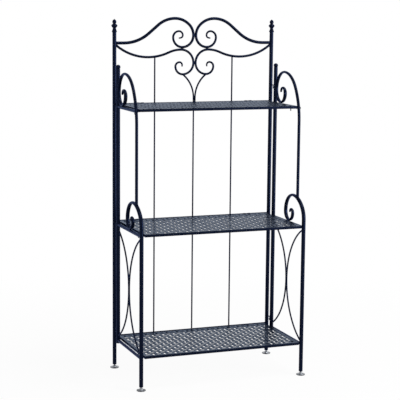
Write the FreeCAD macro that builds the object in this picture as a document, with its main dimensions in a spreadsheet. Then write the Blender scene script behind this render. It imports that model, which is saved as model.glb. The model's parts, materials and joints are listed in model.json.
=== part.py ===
"""Folding bakers rack: a welded back frame, two hinged side frames and three lift-up shelves.

The frame stands on the floor, with its origin at the middle of its footprint.
X runs to the right, Y to the back and Z up. All sizes are in millimetres.
"""
import FreeCAD
import Part
import math
import operator
import os
import Sketcher

from FreeCAD import Placement, Rotation, Vector

# Driving sizes: name, value and what it measures.
SIZES = (
    ("post_spacing", 680, "back post to back post, and side frame to side frame, on their axes"),
    ("depth_spacing", 348, "back post axis to front leg axis"),
    ("rear_post_gap", 50, "back post axis to the axis of the side frame's rear post"),
    ("upper_post_setback", 62, "front leg axis to the axis of the thinner upper post"),
    ("post_diameter", 16, "tube of the posts and front legs"),
    ("post_wall", 1.2, "wall of that tube"),
    ("post_lift", 15, "lower end of the posts above the floor"),
    ("bottom_shelf_height", 131, "middle of the bottom shelf's frame above the floor"),
    ("lower_bay", 477, "bottom shelf to middle shelf"),
    ("upper_bay", 473, "middle shelf to top shelf"),
    ("crest_rise", 246, "top shelf to the root of the upper crest scrolls"),
    ("crest_drop", 43, "top of the back posts above that root"),
    ("finial_height", 52, "finial above the post"),
    ("finial_bead", 25, "diameter of the finial's ridged bead"),
    ("finial_swell", 0.8, "how far the two faces of that bead swell"),
    ("finial_collar", 20.5, "diameter of the finial's collar"),
    ("finial_bud", 16.5, "diameter of the bud at the finial's tip"),
    ("finial_waist", 13.5, "diameter of the finial's waist"),
    ("spigot_length", 12, "plug of a finial or ball inside its tube"),
    ("upper_scroll_diameter", 12.5, "root of the upper crest scroll"),
    ("lower_scroll_diameter", 10, "root of the lower crest scroll"),
    ("stem_diameter", 7.5, "root of a heart stem"),
    ("back_rod_diameter", 6, "upright back rod"),
    ("back_rail_diameter", 10, "back rail that a shelf hinges on"),
    ("rear_post_rise", 147, "top of the rear post above the top shelf"),
    ("rear_post_tail", 12, "end of the rear post below the bottom crossbar's axis"),
    ("ball_diameter", 18.5, "ball cap"),
    ("crossbar_diameter", 12, "side crossbar"),
    ("crossbar_drop", 3, "crossbar axis below the middle of the shelf's frame"),
    ("upper_arch_diameter", 12, "bar of the upper post and arch"),
    ("upper_arch_loop", 47, "radius under the upper arch's scroll"),
    ("lower_arch_width", 174, "front leg axis to the back of the lower arch"),
    ("lower_arch_loop", 35, "radius under the lower arch's scroll"),
    ("bow_diameter", 6.5, "thin bow in the side frame"),
    ("rear_bow_gap", 21, "end of the rear bow to the crossbar's axis"),
    ("front_bow_gap", 10, "end of the front bow to the crossbar's axis"),
    ("hinge_pin_diameter", 5, "side frame's hinge pin"),
    ("hinge_eye_diameter", 10, "eye that turns on the pin"),
    ("hinge_eye_height", 9, "height of the eye"),
    ("hinge_arm_gap", 1.5, "eye's top to the pin's arm"),
    ("pin_tail", 2.5, "pin below the eye"),
    ("upper_hinge_rise", 63, "middle of the upper eye above the top shelf"),
    ("lower_hinge_rise", 29, "middle of the lower eye above the bottom shelf"),
    ("shelf_leg", 10, "leg of the shelf's angle frame"),
    ("shelf_leg_thickness", 2, "thickness of that angle"),
    ("sheet_thickness", 1, "punched sheet"),
    ("slot_pitch", 32, "spacing of the punched slots"),
    ("slot_margin", 3, "plain sheet between the frame and the slots"),
    ("barrel_diameter", 8, "fixed barrel of a shelf hinge"),
    ("barrel_length", 10, "each barrel of a shelf hinge"),
    ("barrel_gap", 0.4, "between two barrels, along the pin"),
    ("shelf_pin_diameter", 4, "pin of a shelf hinge"),
    ("leaf_thickness", 2, "leaf between a loose barrel and the shelf's frame"),
    ("weld_depth", 0.4, "how far a barrel is let into what it is welded to"),
    ("peg_diameter", 4, "peg beside the shelf's frame"),
    ("peg_length", 14, "peg below the shelf's frame"),
    ("tab_length", 24, "tab that carries the shelf"),
    ("tab_reach", 22, "crossbar axis to the inner end of the tab"),
    ("tab_thickness", 3, "tab that carries the shelf"),
    ("tab_gap", 6, "peg's axis to the tab"),
    ("foot_diameter", 36, "levelling foot"),
    ("foot_rim", 4, "height of the foot's rim"),
    ("foot_edge", 1.5, "bevel under the foot's rim"),
    ("foot_hub_diameter", 14, "hub on the foot"),
    ("foot_hub_height", 9, "top of the hub above the floor"),
    ("stud_diameter", 8, "threaded stud of the foot"),
    ("stud_length", 34, "stud above the hub"),
    ("insert_length", 22, "threaded insert in the lower end of a post"),
    ("folded_shelf_gap", 1, "crest scrolls to a shelf that is folded up"),
    ("side_clearance", 1, "pegs to the side frames"),
    ("hinge_clearance", 0.08, "radial play on pins, spigots and studs"),
    ("rest_clearance", 0.2, "shelf frame to the tabs under it"),
    ("weld_gap", 0.1, "bars that meet side by side"),
    ("overrun", 5, "how far a cut runs past what it cuts"),
)

SIDES = (("left", -1), ("right", 1))

# Lengths of the crest scrolls as shares of their reach, from the post to the middle.
UPPER_LEAD_SHARE = 0.119
UPPER_SWEEP_SHARE = 0.483
UPPER_RISE_SHARE = 0.158
UPPER_CROWN_SHARE = 0.334
UPPER_SWEEP_DEGREES = 40
UPPER_SHOULDER_DEGREES = 45
UPPER_FLANK_SHARE = 0.180
UPPER_CURL_SHARES = (0.142, 0.118, 0.074, 0.049, 0.0315, 0.018)
UPPER_CURL_DEGREES = (90, 90, 90, 90, 80, 0)
UPPER_TAPER_SHARES = (1.0, 1.0, 0.98, 0.96, 0.92, 0.88, 0.80, 0.72, 0.64, 0.58, 0.52, 0.46)
LOWER_BELLY_SHARE = 0.640
LOWER_CREST_SHARE = 0.016
LOWER_ROOT_DEGREES = 41.5
LOWER_RISE_DEGREES = 23.9
LOWER_CURL_SHARES = (0.137, 0.094, 0.052, 0.034, 0.045)
LOWER_CURL_DEGREES = (90, 90, 90, 85, 20)
LOWER_TAPER_SHARES = (0.98, 0.96, 0.93, 0.90, 0.86, 0.78, 0.66, 0.56)

# Side arches: radii as shares of the arch's width, then of its loop; the bar is flattened towards its scroll.
UPPER_ARCH_SHARES = (1.037, 0.568)
UPPER_ARCH_DEGREES = 35
UPPER_ARCH_CURL_SHARES = (0.82, 0.47, 0.40)
UPPER_ARCH_TAPER_SHARES = (1.0, 0.95, 0.82, 0.72, 0.66, 0.66, 0.66, 0.50)
UPPER_ARCH_WIDTH_SHARES = (1.0, 1.04, 1.10, 1.20, 1.28, 1.28, 1.0, 0.70)
LOWER_ARCH_SHARES = (0.431, 0.649)
LOWER_ARCH_DEGREES = 45
LOWER_ARCH_CURL_SHARES = (0.95, 0.40, 0.36)
LOWER_ARCH_TAPER_SHARES = (1.0, 0.92, 0.68, 0.54, 0.50, 0.52, 0.52, 0.38)
LOWER_ARCH_WIDTH_SHARES = (1.0, 1.0, 1.0, 1.0, 1.0, 0.86, 0.66, 0.46)
ARCH_CURL_DEGREES = (90, 90, 85)

BOW_TOUCH_SHARE = 0.48
STEM_FOOT_SHARE = 0.18
STEM_TAPER_SHARES = (0.87, 0.80)
PEG_DEPTH_SHARE = 0.80
SIDE_PIN_SHARE = 0.30
BACK_ROD_SHARE = 0.494
HINGE_PLACE_SHARE = 0.72
BARREL_LEAN_DEGREES = 20
SLOT_LENGTH_SHARE = 0.72
SLOT_WIDTH_SHARE = 0.32
FINIAL_HEIGHT_SHARES = (0.05, 0.24, 0.33, 0.50, 0.63, 0.66, 0.92)
FINIAL_NECK_SHARE = 0.90
FINIAL_BUD_SHARE = 0.62
BALL_NECK_SHARE = 0.70
ARC_STEP_DEGREES = 15

OPERATIONS = {"+": operator.add, "-": operator.sub, "*": operator.mul, "/": operator.truediv}
TURNS = {
    "X": Rotation(Vector(0, 1, 0), 90),
    "Y": Rotation(Vector(1, 0, 0), -90),
    "Z": Rotation(),
}

doc = FreeCAD.newDocument("BakersRack")
sheet = doc.addObject("Spreadsheet::Sheet", "Sizes")
pieces = []


class Size:
    """A length worked out from the sheet: its number, and the expression that binds it."""

    def __init__(self, value, text):
        self.value = value
        self.text = text

    def __add__(self, other):
        return combine(self, "+", other)

    def __radd__(self, other):
        return combine(other, "+", self)

    def __sub__(self, other):
        return combine(self, "-", other)

    def __rsub__(self, other):
        return combine(other, "-", self)

    def __mul__(self, other):
        return combine(self, "*", other)

    def __rmul__(self, other):
        return combine(other, "*", self)

    def __truediv__(self, other):
        return combine(self, "/", other)

    def __neg__(self):
        return combine(-1, "*", self)

    def root(self):
        return Size(math.sqrt(self.value), "sqrt(%s)" % self.text)


class SizeSheet:
    """The cells of the sheet by name."""

    def __getattr__(self, alias):
        return Size(float(sheet.get(alias)), "Sizes." + alias)


def number(term):
    return term.value if isinstance(term, Size) else float(term)


def words(term):
    return term.text if isinstance(term, Size) else repr(float(term))


def combine(left, sign, right):
    value = OPERATIONS[sign](number(left), number(right))
    return Size(value, "(%s %s %s)" % (words(left), sign, words(right)))


def fill_sheet():
    for row, (alias, value, note) in enumerate(SIZES, start=1):
        sheet.set("A%d" % row, alias)
        sheet.set("B%d" % row, str(value))
        sheet.setAlias("B%d" % row, alias)
        sheet.set("C%d" % row, note)
    doc.recompute()


fill_sheet()
size = SizeSheet()

# Places that several pieces share.
half_spacing = size.post_spacing / 2
back_y = size.depth_spacing / 2
front_y = -back_y
rear_y = back_y - size.rear_post_gap
hinge_y = rear_y + SIDE_PIN_SHARE * size.rear_post_gap
upper_y = front_y + size.upper_post_setback
post_radius = size.post_diameter / 2
bore_radius = post_radius - size.post_wall
bottom_z = size.bottom_shelf_height
middle_z = bottom_z + size.lower_bay
top_z = middle_z + size.upper_bay
crest_z = top_z + size.crest_rise
post_top_z = crest_z + size.crest_drop
back_rail_radius = size.back_rail_diameter / 2
crossbar_radius = size.crossbar_diameter / 2

# Shelf hinges: barrels lean forward from the back rail, and lie so that a folded shelf clears the scrolls.
barrel_lean = math.radians(BARREL_LEAN_DEGREES)
barrel_radius = size.barrel_diameter / 2
barrel_seat = back_rail_radius + barrel_radius - size.weld_depth
hinge_reach = math.cos(barrel_lean) * barrel_seat
shelf_top = size.shelf_leg / 2 + size.sheet_thickness
hinge_lift = shelf_top + size.upper_scroll_diameter / 2 + size.folded_shelf_gap - hinge_reach
rail_lift = hinge_lift - math.sin(barrel_lean) * barrel_seat
loose_radius = barrel_radius - size.weld_depth - size.rest_clearance
shelf_setback = hinge_reach + barrel_radius + size.rest_clearance
half_shelf = half_spacing - post_radius - size.side_clearance - size.peg_diameter

# Each shelf: its name, its middle height, and the distance from the back posts to its front posts.
SHELVES = (
    ("bottom", bottom_z, size.depth_spacing),
    ("middle", middle_z, size.depth_spacing),
    ("top", top_z, size.depth_spacing - size.upper_post_setback),
)

# Side hinges: level, and the middle height of the eye.
HINGES = (
    ("upper", top_z + size.upper_hinge_rise),
    ("lower", bottom_z + size.lower_hinge_rise),
)


def keep(thing, label):
    """Name a finished piece and list it for writing."""
    thing.Label = label
    pieces.append(thing)
    return thing


def place(thing, x, y, z):
    for axis, term in zip("xyz", (x, y, z)):
        thing.setExpression(".Placement.Base." + axis, words(term))


def cylinder(name, radius, length, x, y, z, axis="Z"):
    """A round bar from a point along an axis."""
    bar = doc.addObject("Part::Cylinder", name)
    bar.setExpression("Radius", words(radius))
    bar.setExpression("Height", words(length))
    bar.Placement = Placement(Vector(), TURNS[axis])
    place(bar, x, y, z)
    return bar


def box(name, length, width, height, x, y, z):
    """A block from its lowest corner."""
    block = doc.addObject("Part::Box", name)
    block.setExpression("Length", words(length))
    block.setExpression("Width", words(width))
    block.setExpression("Height", words(height))
    place(block, x, y, z)
    return block


def ball(name, radius, x, y, z):
    round_end = doc.addObject("Part::Sphere", name)
    round_end.setExpression("Radius", words(radius))
    place(round_end, x, y, z)
    return round_end


def fuse(name, shapes):
    joined = doc.addObject("Part::MultiFuse", name)
    joined.Shapes = shapes
    return joined


def cut(name, base, tools):
    """A piece with one or more others taken out of it."""
    result = doc.addObject("Part::Cut", name)
    result.Base = base
    result.Tool = tools[0] if len(tools) == 1 else fuse(name + "_tools", tools)
    return result


def group(name, members):
    """Several like solids in one node."""
    together = doc.addObject("Part::Compound", name)
    together.Links = members
    return together


def solid(name, shape):
    """A piece whose form is worked out point by point."""
    feature = doc.addObject("Part::Feature", name)
    feature.Shape = shape
    return feature


def tube(name, radius, bore, length, x, y, z):
    outer = cylinder(name + "_outer", radius, length, x, y, z)
    inner_length = length + 2 * size.overrun
    inner = cylinder(name + "_bore", bore, inner_length, x, y, z - size.overrun)
    return cut(name, outer, [inner])


def half_chord(start, end):
    """Square of half the distance between two corners."""
    across = start[0] - end[0]
    along = start[1] - end[1]
    return (across * across + along * along) / 4


def turned(name, corners, arcs):
    """A body turned about Z from a closed outline.

    corners are (radius, height) pairs, anticlockwise from the axis; arcs gives, for the number of a
    corner, how far the round stretch from it to the next one bulges past the straight line.
    """
    body = doc.addObject("PartDesign::Body", name)
    outline = body.newObject("Sketcher::SketchObject", name + "_outline")
    plane = [item for item in body.Origin.OriginFeatures if item.Role == "XZ_Plane"][0]
    outline.AttachmentSupport = (plane, [""])
    outline.MapMode = "FlatFace"
    points = [Vector(number(r), number(z), 0) for r, z in corners]
    for index, start in enumerate(points):
        end = points[(index + 1) % len(points)]
        if index in arcs:
            chord = end - start
            outward = Vector(chord.y, -chord.x, 0).normalize()
            curve = Part.Arc(start, (start + end) / 2 + outward * arcs[index].value, end)
            outline.addGeometry(curve, False)
        else:
            outline.addGeometry(Part.LineSegment(start, end), False)
    for index in range(len(points)):
        before = (index - 1) % len(points)
        outline.addConstraint(Sketcher.Constraint("Coincident", before, 2, index, 1))
    for index, (r, z) in enumerate(corners):
        for kind, axis, term in (("DistanceX", -2, r), ("DistanceY", -1, z)):
            if isinstance(term, Size):
                spot = outline.addConstraint(Sketcher.Constraint(kind, -1, 1, index, 1, term.value))
                outline.setExpression("Constraints[%d]" % spot, term.text)
            else:
                outline.addConstraint(Sketcher.Constraint("PointOnObject", index, 1, axis))
    for index, bulge in arcs.items():
        bend = (half_chord(corners[index], corners[index + 1]) + bulge * bulge) / (2 * bulge)
        spot = outline.addConstraint(Sketcher.Constraint("Radius", index, bend.value))
        outline.setExpression("Constraints[%d]" % spot, bend.text)
    revolve = body.newObject("PartDesign::Revolution", name + "_turn")
    revolve.Profile = outline
    revolve.ReferenceAxis = (outline, ["V_Axis"])
    revolve.Angle = 360
    return body


def travel(u, z, heading, thickness, moves):
    """Stations along straight runs and tangent arcs, each (u, z, heading, thickness).

    A move is (run or radius, turn in degrees, thickness at its end), and the bar thins evenly along it.
    """
    stations = [(u, z, heading, thickness)]
    for length, turn, end_thickness in moves:
        steps = max(1, math.ceil(abs(turn) / ARC_STEP_DEGREES))
        bend = math.radians(turn) / steps
        stride = 2 * length * math.sin(abs(bend) / 2) if turn else length
        change = (end_thickness - thickness) / steps
        for _ in range(steps):
            u += stride * math.cos(heading + bend / 2)
            z += stride * math.sin(heading + bend / 2)
            heading += bend
            thickness += change
            stations.append((u, z, heading, thickness))
    return stations


def height_at(stations, u):
    """Height of a line of stations where it first passes u."""
    for (u0, z0, _, _), (u1, z1, _, _) in zip(stations, stations[1:]):
        if u1 != u0 and 0 <= (u - u0) / (u1 - u0) <= 1:
            return z0 + (z1 - z0) * (u - u0) / (u1 - u0)
    return stations[-1][1]


def section(width, thickness):
    """Outline of a bar, round or flattened."""
    if width > thickness:
        return Part.Ellipse(Vector(), width / 2, thickness / 2).toShape()
    return Part.makeCircle(thickness / 2)


def bar_along(stations, widths, spot, along, across):
    """A bar through stations: spot places one, along gives its direction, widths its sizes across."""
    rings = []
    for (u, z, heading, thickness), width in zip(stations, widths):
        way = along(heading)
        ring = Part.Wire([section(width, thickness)])
        ring.Placement = Placement(spot(u, z), Rotation(across, way.cross(across), way, "ZXY"))
        rings.append(ring)
    return Part.makeLoft(rings, True, True)


def crest_bar(stations, sign):
    """A bar in the plane of the back frame, with u counted from the post to the middle."""
    half = half_spacing.value
    y = back_y.value
    return bar_along(
        stations,
        [station[3] for station in stations],
        lambda u, z: Vector(sign * (half - u), y, z),
        lambda heading: Vector(-sign * math.cos(heading), 0, math.sin(heading)),
        Vector(0, 1, 0),
    )


def side_bar(arch, sign):
    """The bar of an arch in the plane of a side frame, with u counted to the back."""
    x = sign * half_spacing.value
    return bar_along(
        arch.stations,
        arch.widths,
        lambda u, z: Vector(x, u, z),
        lambda heading: Vector(0, math.cos(heading), math.sin(heading)),
        Vector(1, 0, 0),
    )


def upright(radius, x, y, low, high):
    return Part.makeCylinder(radius, high - low, Vector(x, y, low))


class Crest:
    """Lines of the crest: the upper and lower scrolls and the heart stems."""

    def __init__(self):
        self.upper = self.upper_line()
        self.lower = self.lower_line()

    def upper_line(self):
        thickness = size.upper_scroll_diameter.value
        shares = UPPER_TAPER_SHARES
        touch = thickness * shares[5] / 2 + size.weld_gap.value
        reach = half_spacing.value - touch
        lead = UPPER_LEAD_SHARE * reach
        sweep = UPPER_SWEEP_SHARE * reach
        rise = UPPER_RISE_SHARE * reach
        crown = UPPER_CROWN_SHARE * reach
        flank = UPPER_FLANK_SHARE * reach
        turn = UPPER_SWEEP_DEGREES
        dip = UPPER_SHOULDER_DEGREES
        angle = math.radians(turn)
        fall = math.radians(dip)
        left = reach - lead - (sweep + crown) * math.sin(angle) - rise * math.cos(angle)
        shoulder = (left - flank * (1 - math.sin(fall))) / math.sin(fall)
        runs = [lead, sweep, rise, crown, shoulder, flank] + [share * reach for share in UPPER_CURL_SHARES]
        turns = [0, turn, 0, -turn, -dip, dip - 90] + [-bend for bend in UPPER_CURL_DEGREES]
        moves = [(run, bend, thickness * share) for run, bend, share in zip(runs, turns, shares)]
        crown_z = crest_z.value + (sweep + crown) * (1 - math.cos(angle)) + rise * math.sin(angle)
        touch_z = crown_z - shoulder * (1 - math.cos(fall)) - flank * math.cos(fall)
        self.loop_bottom = touch_z - runs[6]
        self.loop_u = reach - runs[6]
        self.loop_thickness = thickness * shares[6]
        return travel(0, crest_z.value, 0, thickness, moves)

    def lower_line(self):
        thickness = size.lower_scroll_diameter.value
        shares = LOWER_TAPER_SHARES
        touch = thickness * shares[2] / 2 + size.weld_gap.value
        reach = half_spacing.value - touch
        belly = LOWER_BELLY_SHARE * reach
        root = math.radians(LOWER_ROOT_DEGREES)
        slope = math.radians(LOWER_RISE_DEGREES)
        crest_u = self.loop_u - LOWER_CREST_SHARE * reach
        crown = (crest_u - belly * (math.sin(root) + math.sin(slope))) / math.sin(slope)
        fall = reach - crest_u
        runs = [belly, crown, fall] + [share * reach for share in LOWER_CURL_SHARES]
        turns = [LOWER_ROOT_DEGREES + LOWER_RISE_DEGREES, -LOWER_RISE_DEGREES, -90]
        turns += [-bend for bend in LOWER_CURL_DEGREES]
        moves = [(run, bend, thickness * share) for run, bend, share in zip(runs, turns, shares)]
        crown_gap = (self.loop_thickness + thickness * shares[1]) / 2 + size.weld_gap.value
        crown_z = self.loop_bottom - crown_gap
        climb = belly * (math.cos(root) - math.cos(slope)) + crown * (1 - math.cos(slope))
        self.heart_z = crown_z - fall - runs[3]
        self.heart_x = touch + runs[3]
        return travel(0, crown_z - climb, -root, thickness, moves)

    def stem_line(self):
        """From the bottom of the lower loop, round to the middle, and down to the top back rail."""
        thickness = size.stem_diameter.value
        rail_z = (top_z + rail_lift).value
        drop = self.heart_z - rail_z
        foot = STEM_FOOT_SHARE * drop
        tapers = [thickness * share for share in STEM_TAPER_SHARES]
        across = self.heart_x - tapers[0] / 2 - size.weld_gap.value
        lean = 2 * math.atan(across / (drop - foot))
        bend = (drop - foot) / math.sin(lean)
        start = half_spacing.value - self.heart_x
        moves = [(bend, -math.degrees(lean), tapers[0]), (foot, 0, tapers[1])]
        return travel(start, self.heart_z, lean - math.pi / 2, thickness, moves)


crest = Crest()


def make_back_posts():
    for side, sign in SIDES:
        label = "back_post_" + side
        x = sign * half_spacing
        low = size.post_lift
        keep(tube(label, post_radius, bore_radius, post_top_z - low, x, back_y, low), label)


def make_finials():
    plug = size.spigot_length
    steps = [plug + share * size.finial_height for share in FINIAL_HEIGHT_SHARES]
    collar = size.finial_collar / 2
    waist = size.finial_waist / 2
    neck = FINIAL_NECK_SHARE * waist
    bud_end = FINIAL_BUD_SHARE * size.finial_bud / 2
    corners = [
        (0, 0),
        (bore_radius - size.hinge_clearance, 0),
        (bore_radius - size.hinge_clearance, plug),
        (collar, plug),
        (collar, steps[0]),
        (waist, steps[1]),
        (waist, steps[2]),
        (size.finial_bead / 2, steps[3]),
        (neck, steps[4]),
        (neck, steps[5]),
        (bud_end, steps[6]),
        (0, plug + size.finial_height),
    ]
    arcs = {6: size.finial_swell, 7: size.finial_swell, 9: (size.finial_bud - neck - bud_end) / 2}
    for side, sign in SIDES:
        finial = turned("finial_" + side, corners, arcs)
        place(finial, sign * half_spacing, back_y, post_top_z - plug)
        keep(finial, "finial_" + side)


def make_crest():
    """Crest scrolls coped to the posts and to each other, and heart stems to the loops and the rail."""
    x = half_spacing.value
    y = back_y.value
    rail_z = (top_z + rail_lift).value
    rail = Part.makeCylinder(back_rail_radius.value, 2 * x, Vector(-x, y, rail_z), Vector(1, 0, 0))
    for side, sign in SIDES:
        post = upright(post_radius.value, sign * x, y, 0, post_top_z.value)
        upper = crest_bar(crest.upper, sign).cut(post)
        lower = crest_bar(crest.lower, sign).cut(post).cut(upper)
        stem = crest_bar(crest.stem_line(), sign).cut(rail).cut(lower)
        keep(solid("upper_scroll_" + side, upper), "upper_scroll_" + side)
        keep(solid("lower_scroll_" + side, lower), "lower_scroll_" + side)
        keep(solid("heart_stem_" + side, stem), "heart_stem_" + side)


def make_back_rails():
    """Back rails between the posts, just behind the shelves."""
    posts = [
        cylinder("rail_end_" + side, post_radius, post_top_z, sign * half_spacing, back_y, 0)
        for side, sign in SIDES
    ]
    ends = fuse("rail_ends", posts)
    for name, height, _ in SHELVES:
        label = name + "_back_rail"
        z = height + rail_lift
        bar = cylinder(label + "_bar", back_rail_radius, size.post_spacing, -half_spacing, back_y, z, "X")
        keep(cut(label, bar, [ends]), label)


def make_back_rods():
    """Thin rods behind the rails; the outer two reach up to the lower scrolls."""
    rod_radius = size.back_rod_diameter / 2
    y = back_y + back_rail_radius + rod_radius
    low = bottom_z + rail_lift - back_rail_radius
    outer_x = BACK_ROD_SHARE * half_spacing
    scroll_z = height_at(crest.lower, (half_spacing - outer_x).value)
    centre_top = top_z + rail_lift + back_rail_radius
    outer_top = centre_top + (scroll_z - centre_top.value)
    for name, sign, top in (("left", -1, outer_top), ("centre", 0, centre_top), ("right", 1, outer_top)):
        rod = cylinder("back_rod_" + name, rod_radius, top - low, sign * outer_x, y, low)
        keep(rod, "back_rod_" + name)


def make_hinge_pins():
    """Pins bent down from the back posts, which the side frames hang on."""
    radius = size.hinge_pin_diameter / 2
    eye_half = size.hinge_eye_height / 2
    pins = []
    for side, sign in SIDES:
        x = sign * half_spacing
        post = cylinder("pin_post_" + side, post_radius, post_top_z, x, back_y, 0)
        for level, middle in HINGES:
            name = "%s_pin_%s" % (level, side)
            low = middle - eye_half - size.pin_tail
            arm_z = middle + eye_half + size.hinge_arm_gap + radius
            leg = cylinder(name + "_leg", radius, arm_z - low, x, hinge_y, low)
            arm = cylinder(name + "_arm", radius, back_y - hinge_y, x, hinge_y, arm_z, "Y")
            elbow = ball(name + "_elbow", radius, x, hinge_y, arm_z)
            pins.append(cut(name, fuse(name + "_bent", [leg, elbow, arm]), [post]))
    keep(group("hinge_pins", pins), "hinge_pins")


def make_insert(name, x, y):
    """A threaded insert in the lower end of a post."""
    bore = size.stud_diameter / 2 + size.hinge_clearance
    return tube(name, bore_radius, bore, size.insert_length, x, y, size.post_lift)


class SideArch:
    """Line of a side arch: up its post, over the crown and down into a scroll on the crossbar."""

    def __init__(self, start, post_y, width, loop, crossbar_z, thickness, shares, lean, curls, tapers, flats):
        self.lean = math.radians(lean)
        self.outer = shares[0] * width
        self.inner = shares[1] * width
        self.fall = width - self.outer * (1 - math.cos(self.lean)) - self.inner * math.cos(self.lean)
        loop_z = crossbar_z + crossbar_radius + tapers[4] * thickness / 2 + size.weld_gap
        self.crown_z = loop_z + loop + self.fall
        rise = self.outer * math.sin(self.lean) + self.inner * (1 - math.sin(self.lean))
        self.bend_z = self.crown_z - rise
        runs = [self.bend_z.value - start, self.outer.value, self.inner.value, self.fall.value, loop.value]
        runs += [share * loop.value for share in curls]
        turns = [0, -lean, lean - 90, -90, -90] + [-turn for turn in ARCH_CURL_DEGREES]
        full = thickness.value
        self.stations, wide = [
            travel(post_y.value, start, math.pi / 2, full,
                   [(run, turn, share * full) for run, turn, share in zip(runs, turns, sections)])
            for sections in (tapers, flats)
        ]
        self.widths = [station[3] for station in wide]

    def y_at(self, z):
        """Where the front of the arch stands at a height, on the line between two stations."""
        return height_at([(rise, y, heading, wide) for y, rise, heading, wide in self.stations], z.value)


def make_side_frame(side, sign):
    x = sign * half_spacing
    bottom_bar_z = bottom_z - size.crossbar_drop
    middle_bar_z = middle_z - size.crossbar_drop
    top_bar_z = top_z - size.crossbar_drop
    rear_low = bottom_bar_z - size.rear_post_tail
    rear_top = top_z + size.rear_post_rise
    rear_face = upright(post_radius.value, x.value, rear_y.value, rear_low.value, rear_top.value)

    rear_post = tube("rear_post_" + side, post_radius, bore_radius, rear_top - rear_low, x, rear_y, rear_low)
    keep(rear_post, "rear_post_" + side)
    make_ball_cap(side, x, rear_top)

    lower = SideArch(
        size.post_lift.value, front_y, size.lower_arch_width, size.lower_arch_loop, middle_bar_z,
        size.post_diameter, LOWER_ARCH_SHARES, LOWER_ARCH_DEGREES, LOWER_ARCH_CURL_SHARES,
        LOWER_ARCH_TAPER_SHARES, LOWER_ARCH_WIDTH_SHARES,
    )
    bar = side_bar(lower, sign)
    bore = upright(bore_radius.value, x.value, front_y.value, size.post_lift.value - size.overrun.value,
                   lower.bend_z.value)
    keep(solid("lower_arch_" + side, bar.cut(bore)), "lower_arch_" + side)

    landing = height_at(lower.stations, upper_y.value)
    rear_gap = post_radius + size.weld_gap + UPPER_ARCH_TAPER_SHARES[3] * size.upper_arch_diameter / 2
    upper_width = rear_y - rear_gap - upper_y
    upper = SideArch(
        landing, upper_y, upper_width, size.upper_arch_loop, top_bar_z,
        size.upper_arch_diameter, UPPER_ARCH_SHARES, UPPER_ARCH_DEGREES, UPPER_ARCH_CURL_SHARES,
        UPPER_ARCH_TAPER_SHARES, UPPER_ARCH_WIDTH_SHARES,
    )
    arch = keep(solid("upper_arch_" + side, side_bar(upper, sign).cut(bar)), "upper_arch_" + side)

    rear_end = cylinder("rear_end_" + side, post_radius, rear_top, x, rear_y, 0)
    leg_end = cylinder("leg_end_" + side, post_radius, middle_z + size.crossbar_diameter, x, front_y, 0)
    bars = (
        ("top_crossbar_", top_bar_z, upper.y_at(top_bar_z), arch),
        ("middle_crossbar_", middle_bar_z, front_y, leg_end),
        ("bottom_crossbar_", bottom_bar_z, front_y, leg_end),
    )
    for label, z, y, end in bars:
        whole = cylinder(label + side + "_bar", crossbar_radius, rear_y - y, x, y, z, "Y")
        keep(cut(label + side, whole, [rear_end, end]), label + side)

    make_bows(side, x, bottom_bar_z, middle_bar_z, rear_face)
    make_hinge_eyes(side, x)
    make_tabs(side, sign)
    keep(make_insert("front_insert_" + side, x, front_y), "front_insert_" + side)


def make_ball_cap(side, x, rear_top):
    plug = size.spigot_length
    radius = size.ball_diameter / 2
    neck = BALL_NECK_SHARE * radius
    crown = plug + (radius * radius - neck * neck).root() + radius
    corners = [
        (0, 0),
        (bore_radius - size.hinge_clearance, 0),
        (bore_radius - size.hinge_clearance, plug),
        (neck, plug),
        (0, crown),
    ]
    bulge = radius - (radius * radius - half_chord(corners[3], corners[4])).root()
    cap = turned("ball_cap_" + side, corners, {3: bulge})
    place(cap, x, rear_y, rear_top - plug)
    keep(cap, "ball_cap_" + side)


def make_bows(side, x, low, high, rear_face):
    """Two arcs back to back between the middle and the bottom crossbar."""
    thin = size.bow_diameter.value / 2
    touch_y = rear_y.value + BOW_TOUCH_SHARE * (front_y.value - rear_y.value)
    middle = (low.value + high.value) / 2
    leg_face = upright(post_radius.value, x.value, front_y.value, low.value, high.value)
    ends = (
        ("rear_bow_", 1, rear_y.value, size.rear_bow_gap.value, rear_face),
        ("front_bow_", -1, front_y.value, size.front_bow_gap.value, leg_face),
    )
    for name, way, post_y, gap, post in ends:
        half_run = (high.value - low.value) / 2 - gap
        apex = touch_y + way * (thin + size.weld_gap.value / 2)
        depth = abs(post_y - apex) - post_radius.value
        radius = (half_run ** 2 + depth ** 2) / (2 * depth)
        centre = Vector(x.value, apex + way * radius, middle)
        reach = radius - depth - post_radius.value
        angle = math.degrees(math.acos(reach / radius))
        disc = Part.Face(Part.Wire([Part.makeCircle(thin, Vector(x.value, apex, middle), Vector(0, 0, 1))]))
        disc.rotate(centre, Vector(1, 0, 0), -angle)
        bow = disc.revolve(centre, Vector(1, 0, 0), 2 * angle)
        keep(solid(name + side, bow.cut(post)), name + side)


def make_hinge_eyes(side, x):
    """Eyes on the rear post that turn on the back frame's pins."""
    bore = size.hinge_pin_diameter / 2 + size.hinge_clearance
    arm = size.hinge_pin_diameter
    eyes = []
    post = cylinder("eye_post_" + side, post_radius, post_top_z, x, rear_y, 0)
    for level, middle in HINGES:
        name = "%s_eye_%s" % (level, side)
        low = middle - size.hinge_eye_height / 2
        tall = size.hinge_eye_height
        ring = cylinder(name + "_ring", size.hinge_eye_diameter / 2, tall, x, hinge_y, low)
        web = box(name + "_web", arm, hinge_y - rear_y, tall, x - arm / 2, rear_y, low)
        hole_length = tall + 2 * size.overrun
        hole = cylinder(name + "_hole", bore, hole_length, x, hinge_y, low - size.overrun)
        eyes.append(cut(name, fuse(name + "_whole", [ring, web]), [hole, post]))
    keep(group("hinge_eyes_" + side, eyes), "hinge_eyes_" + side)


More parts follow.
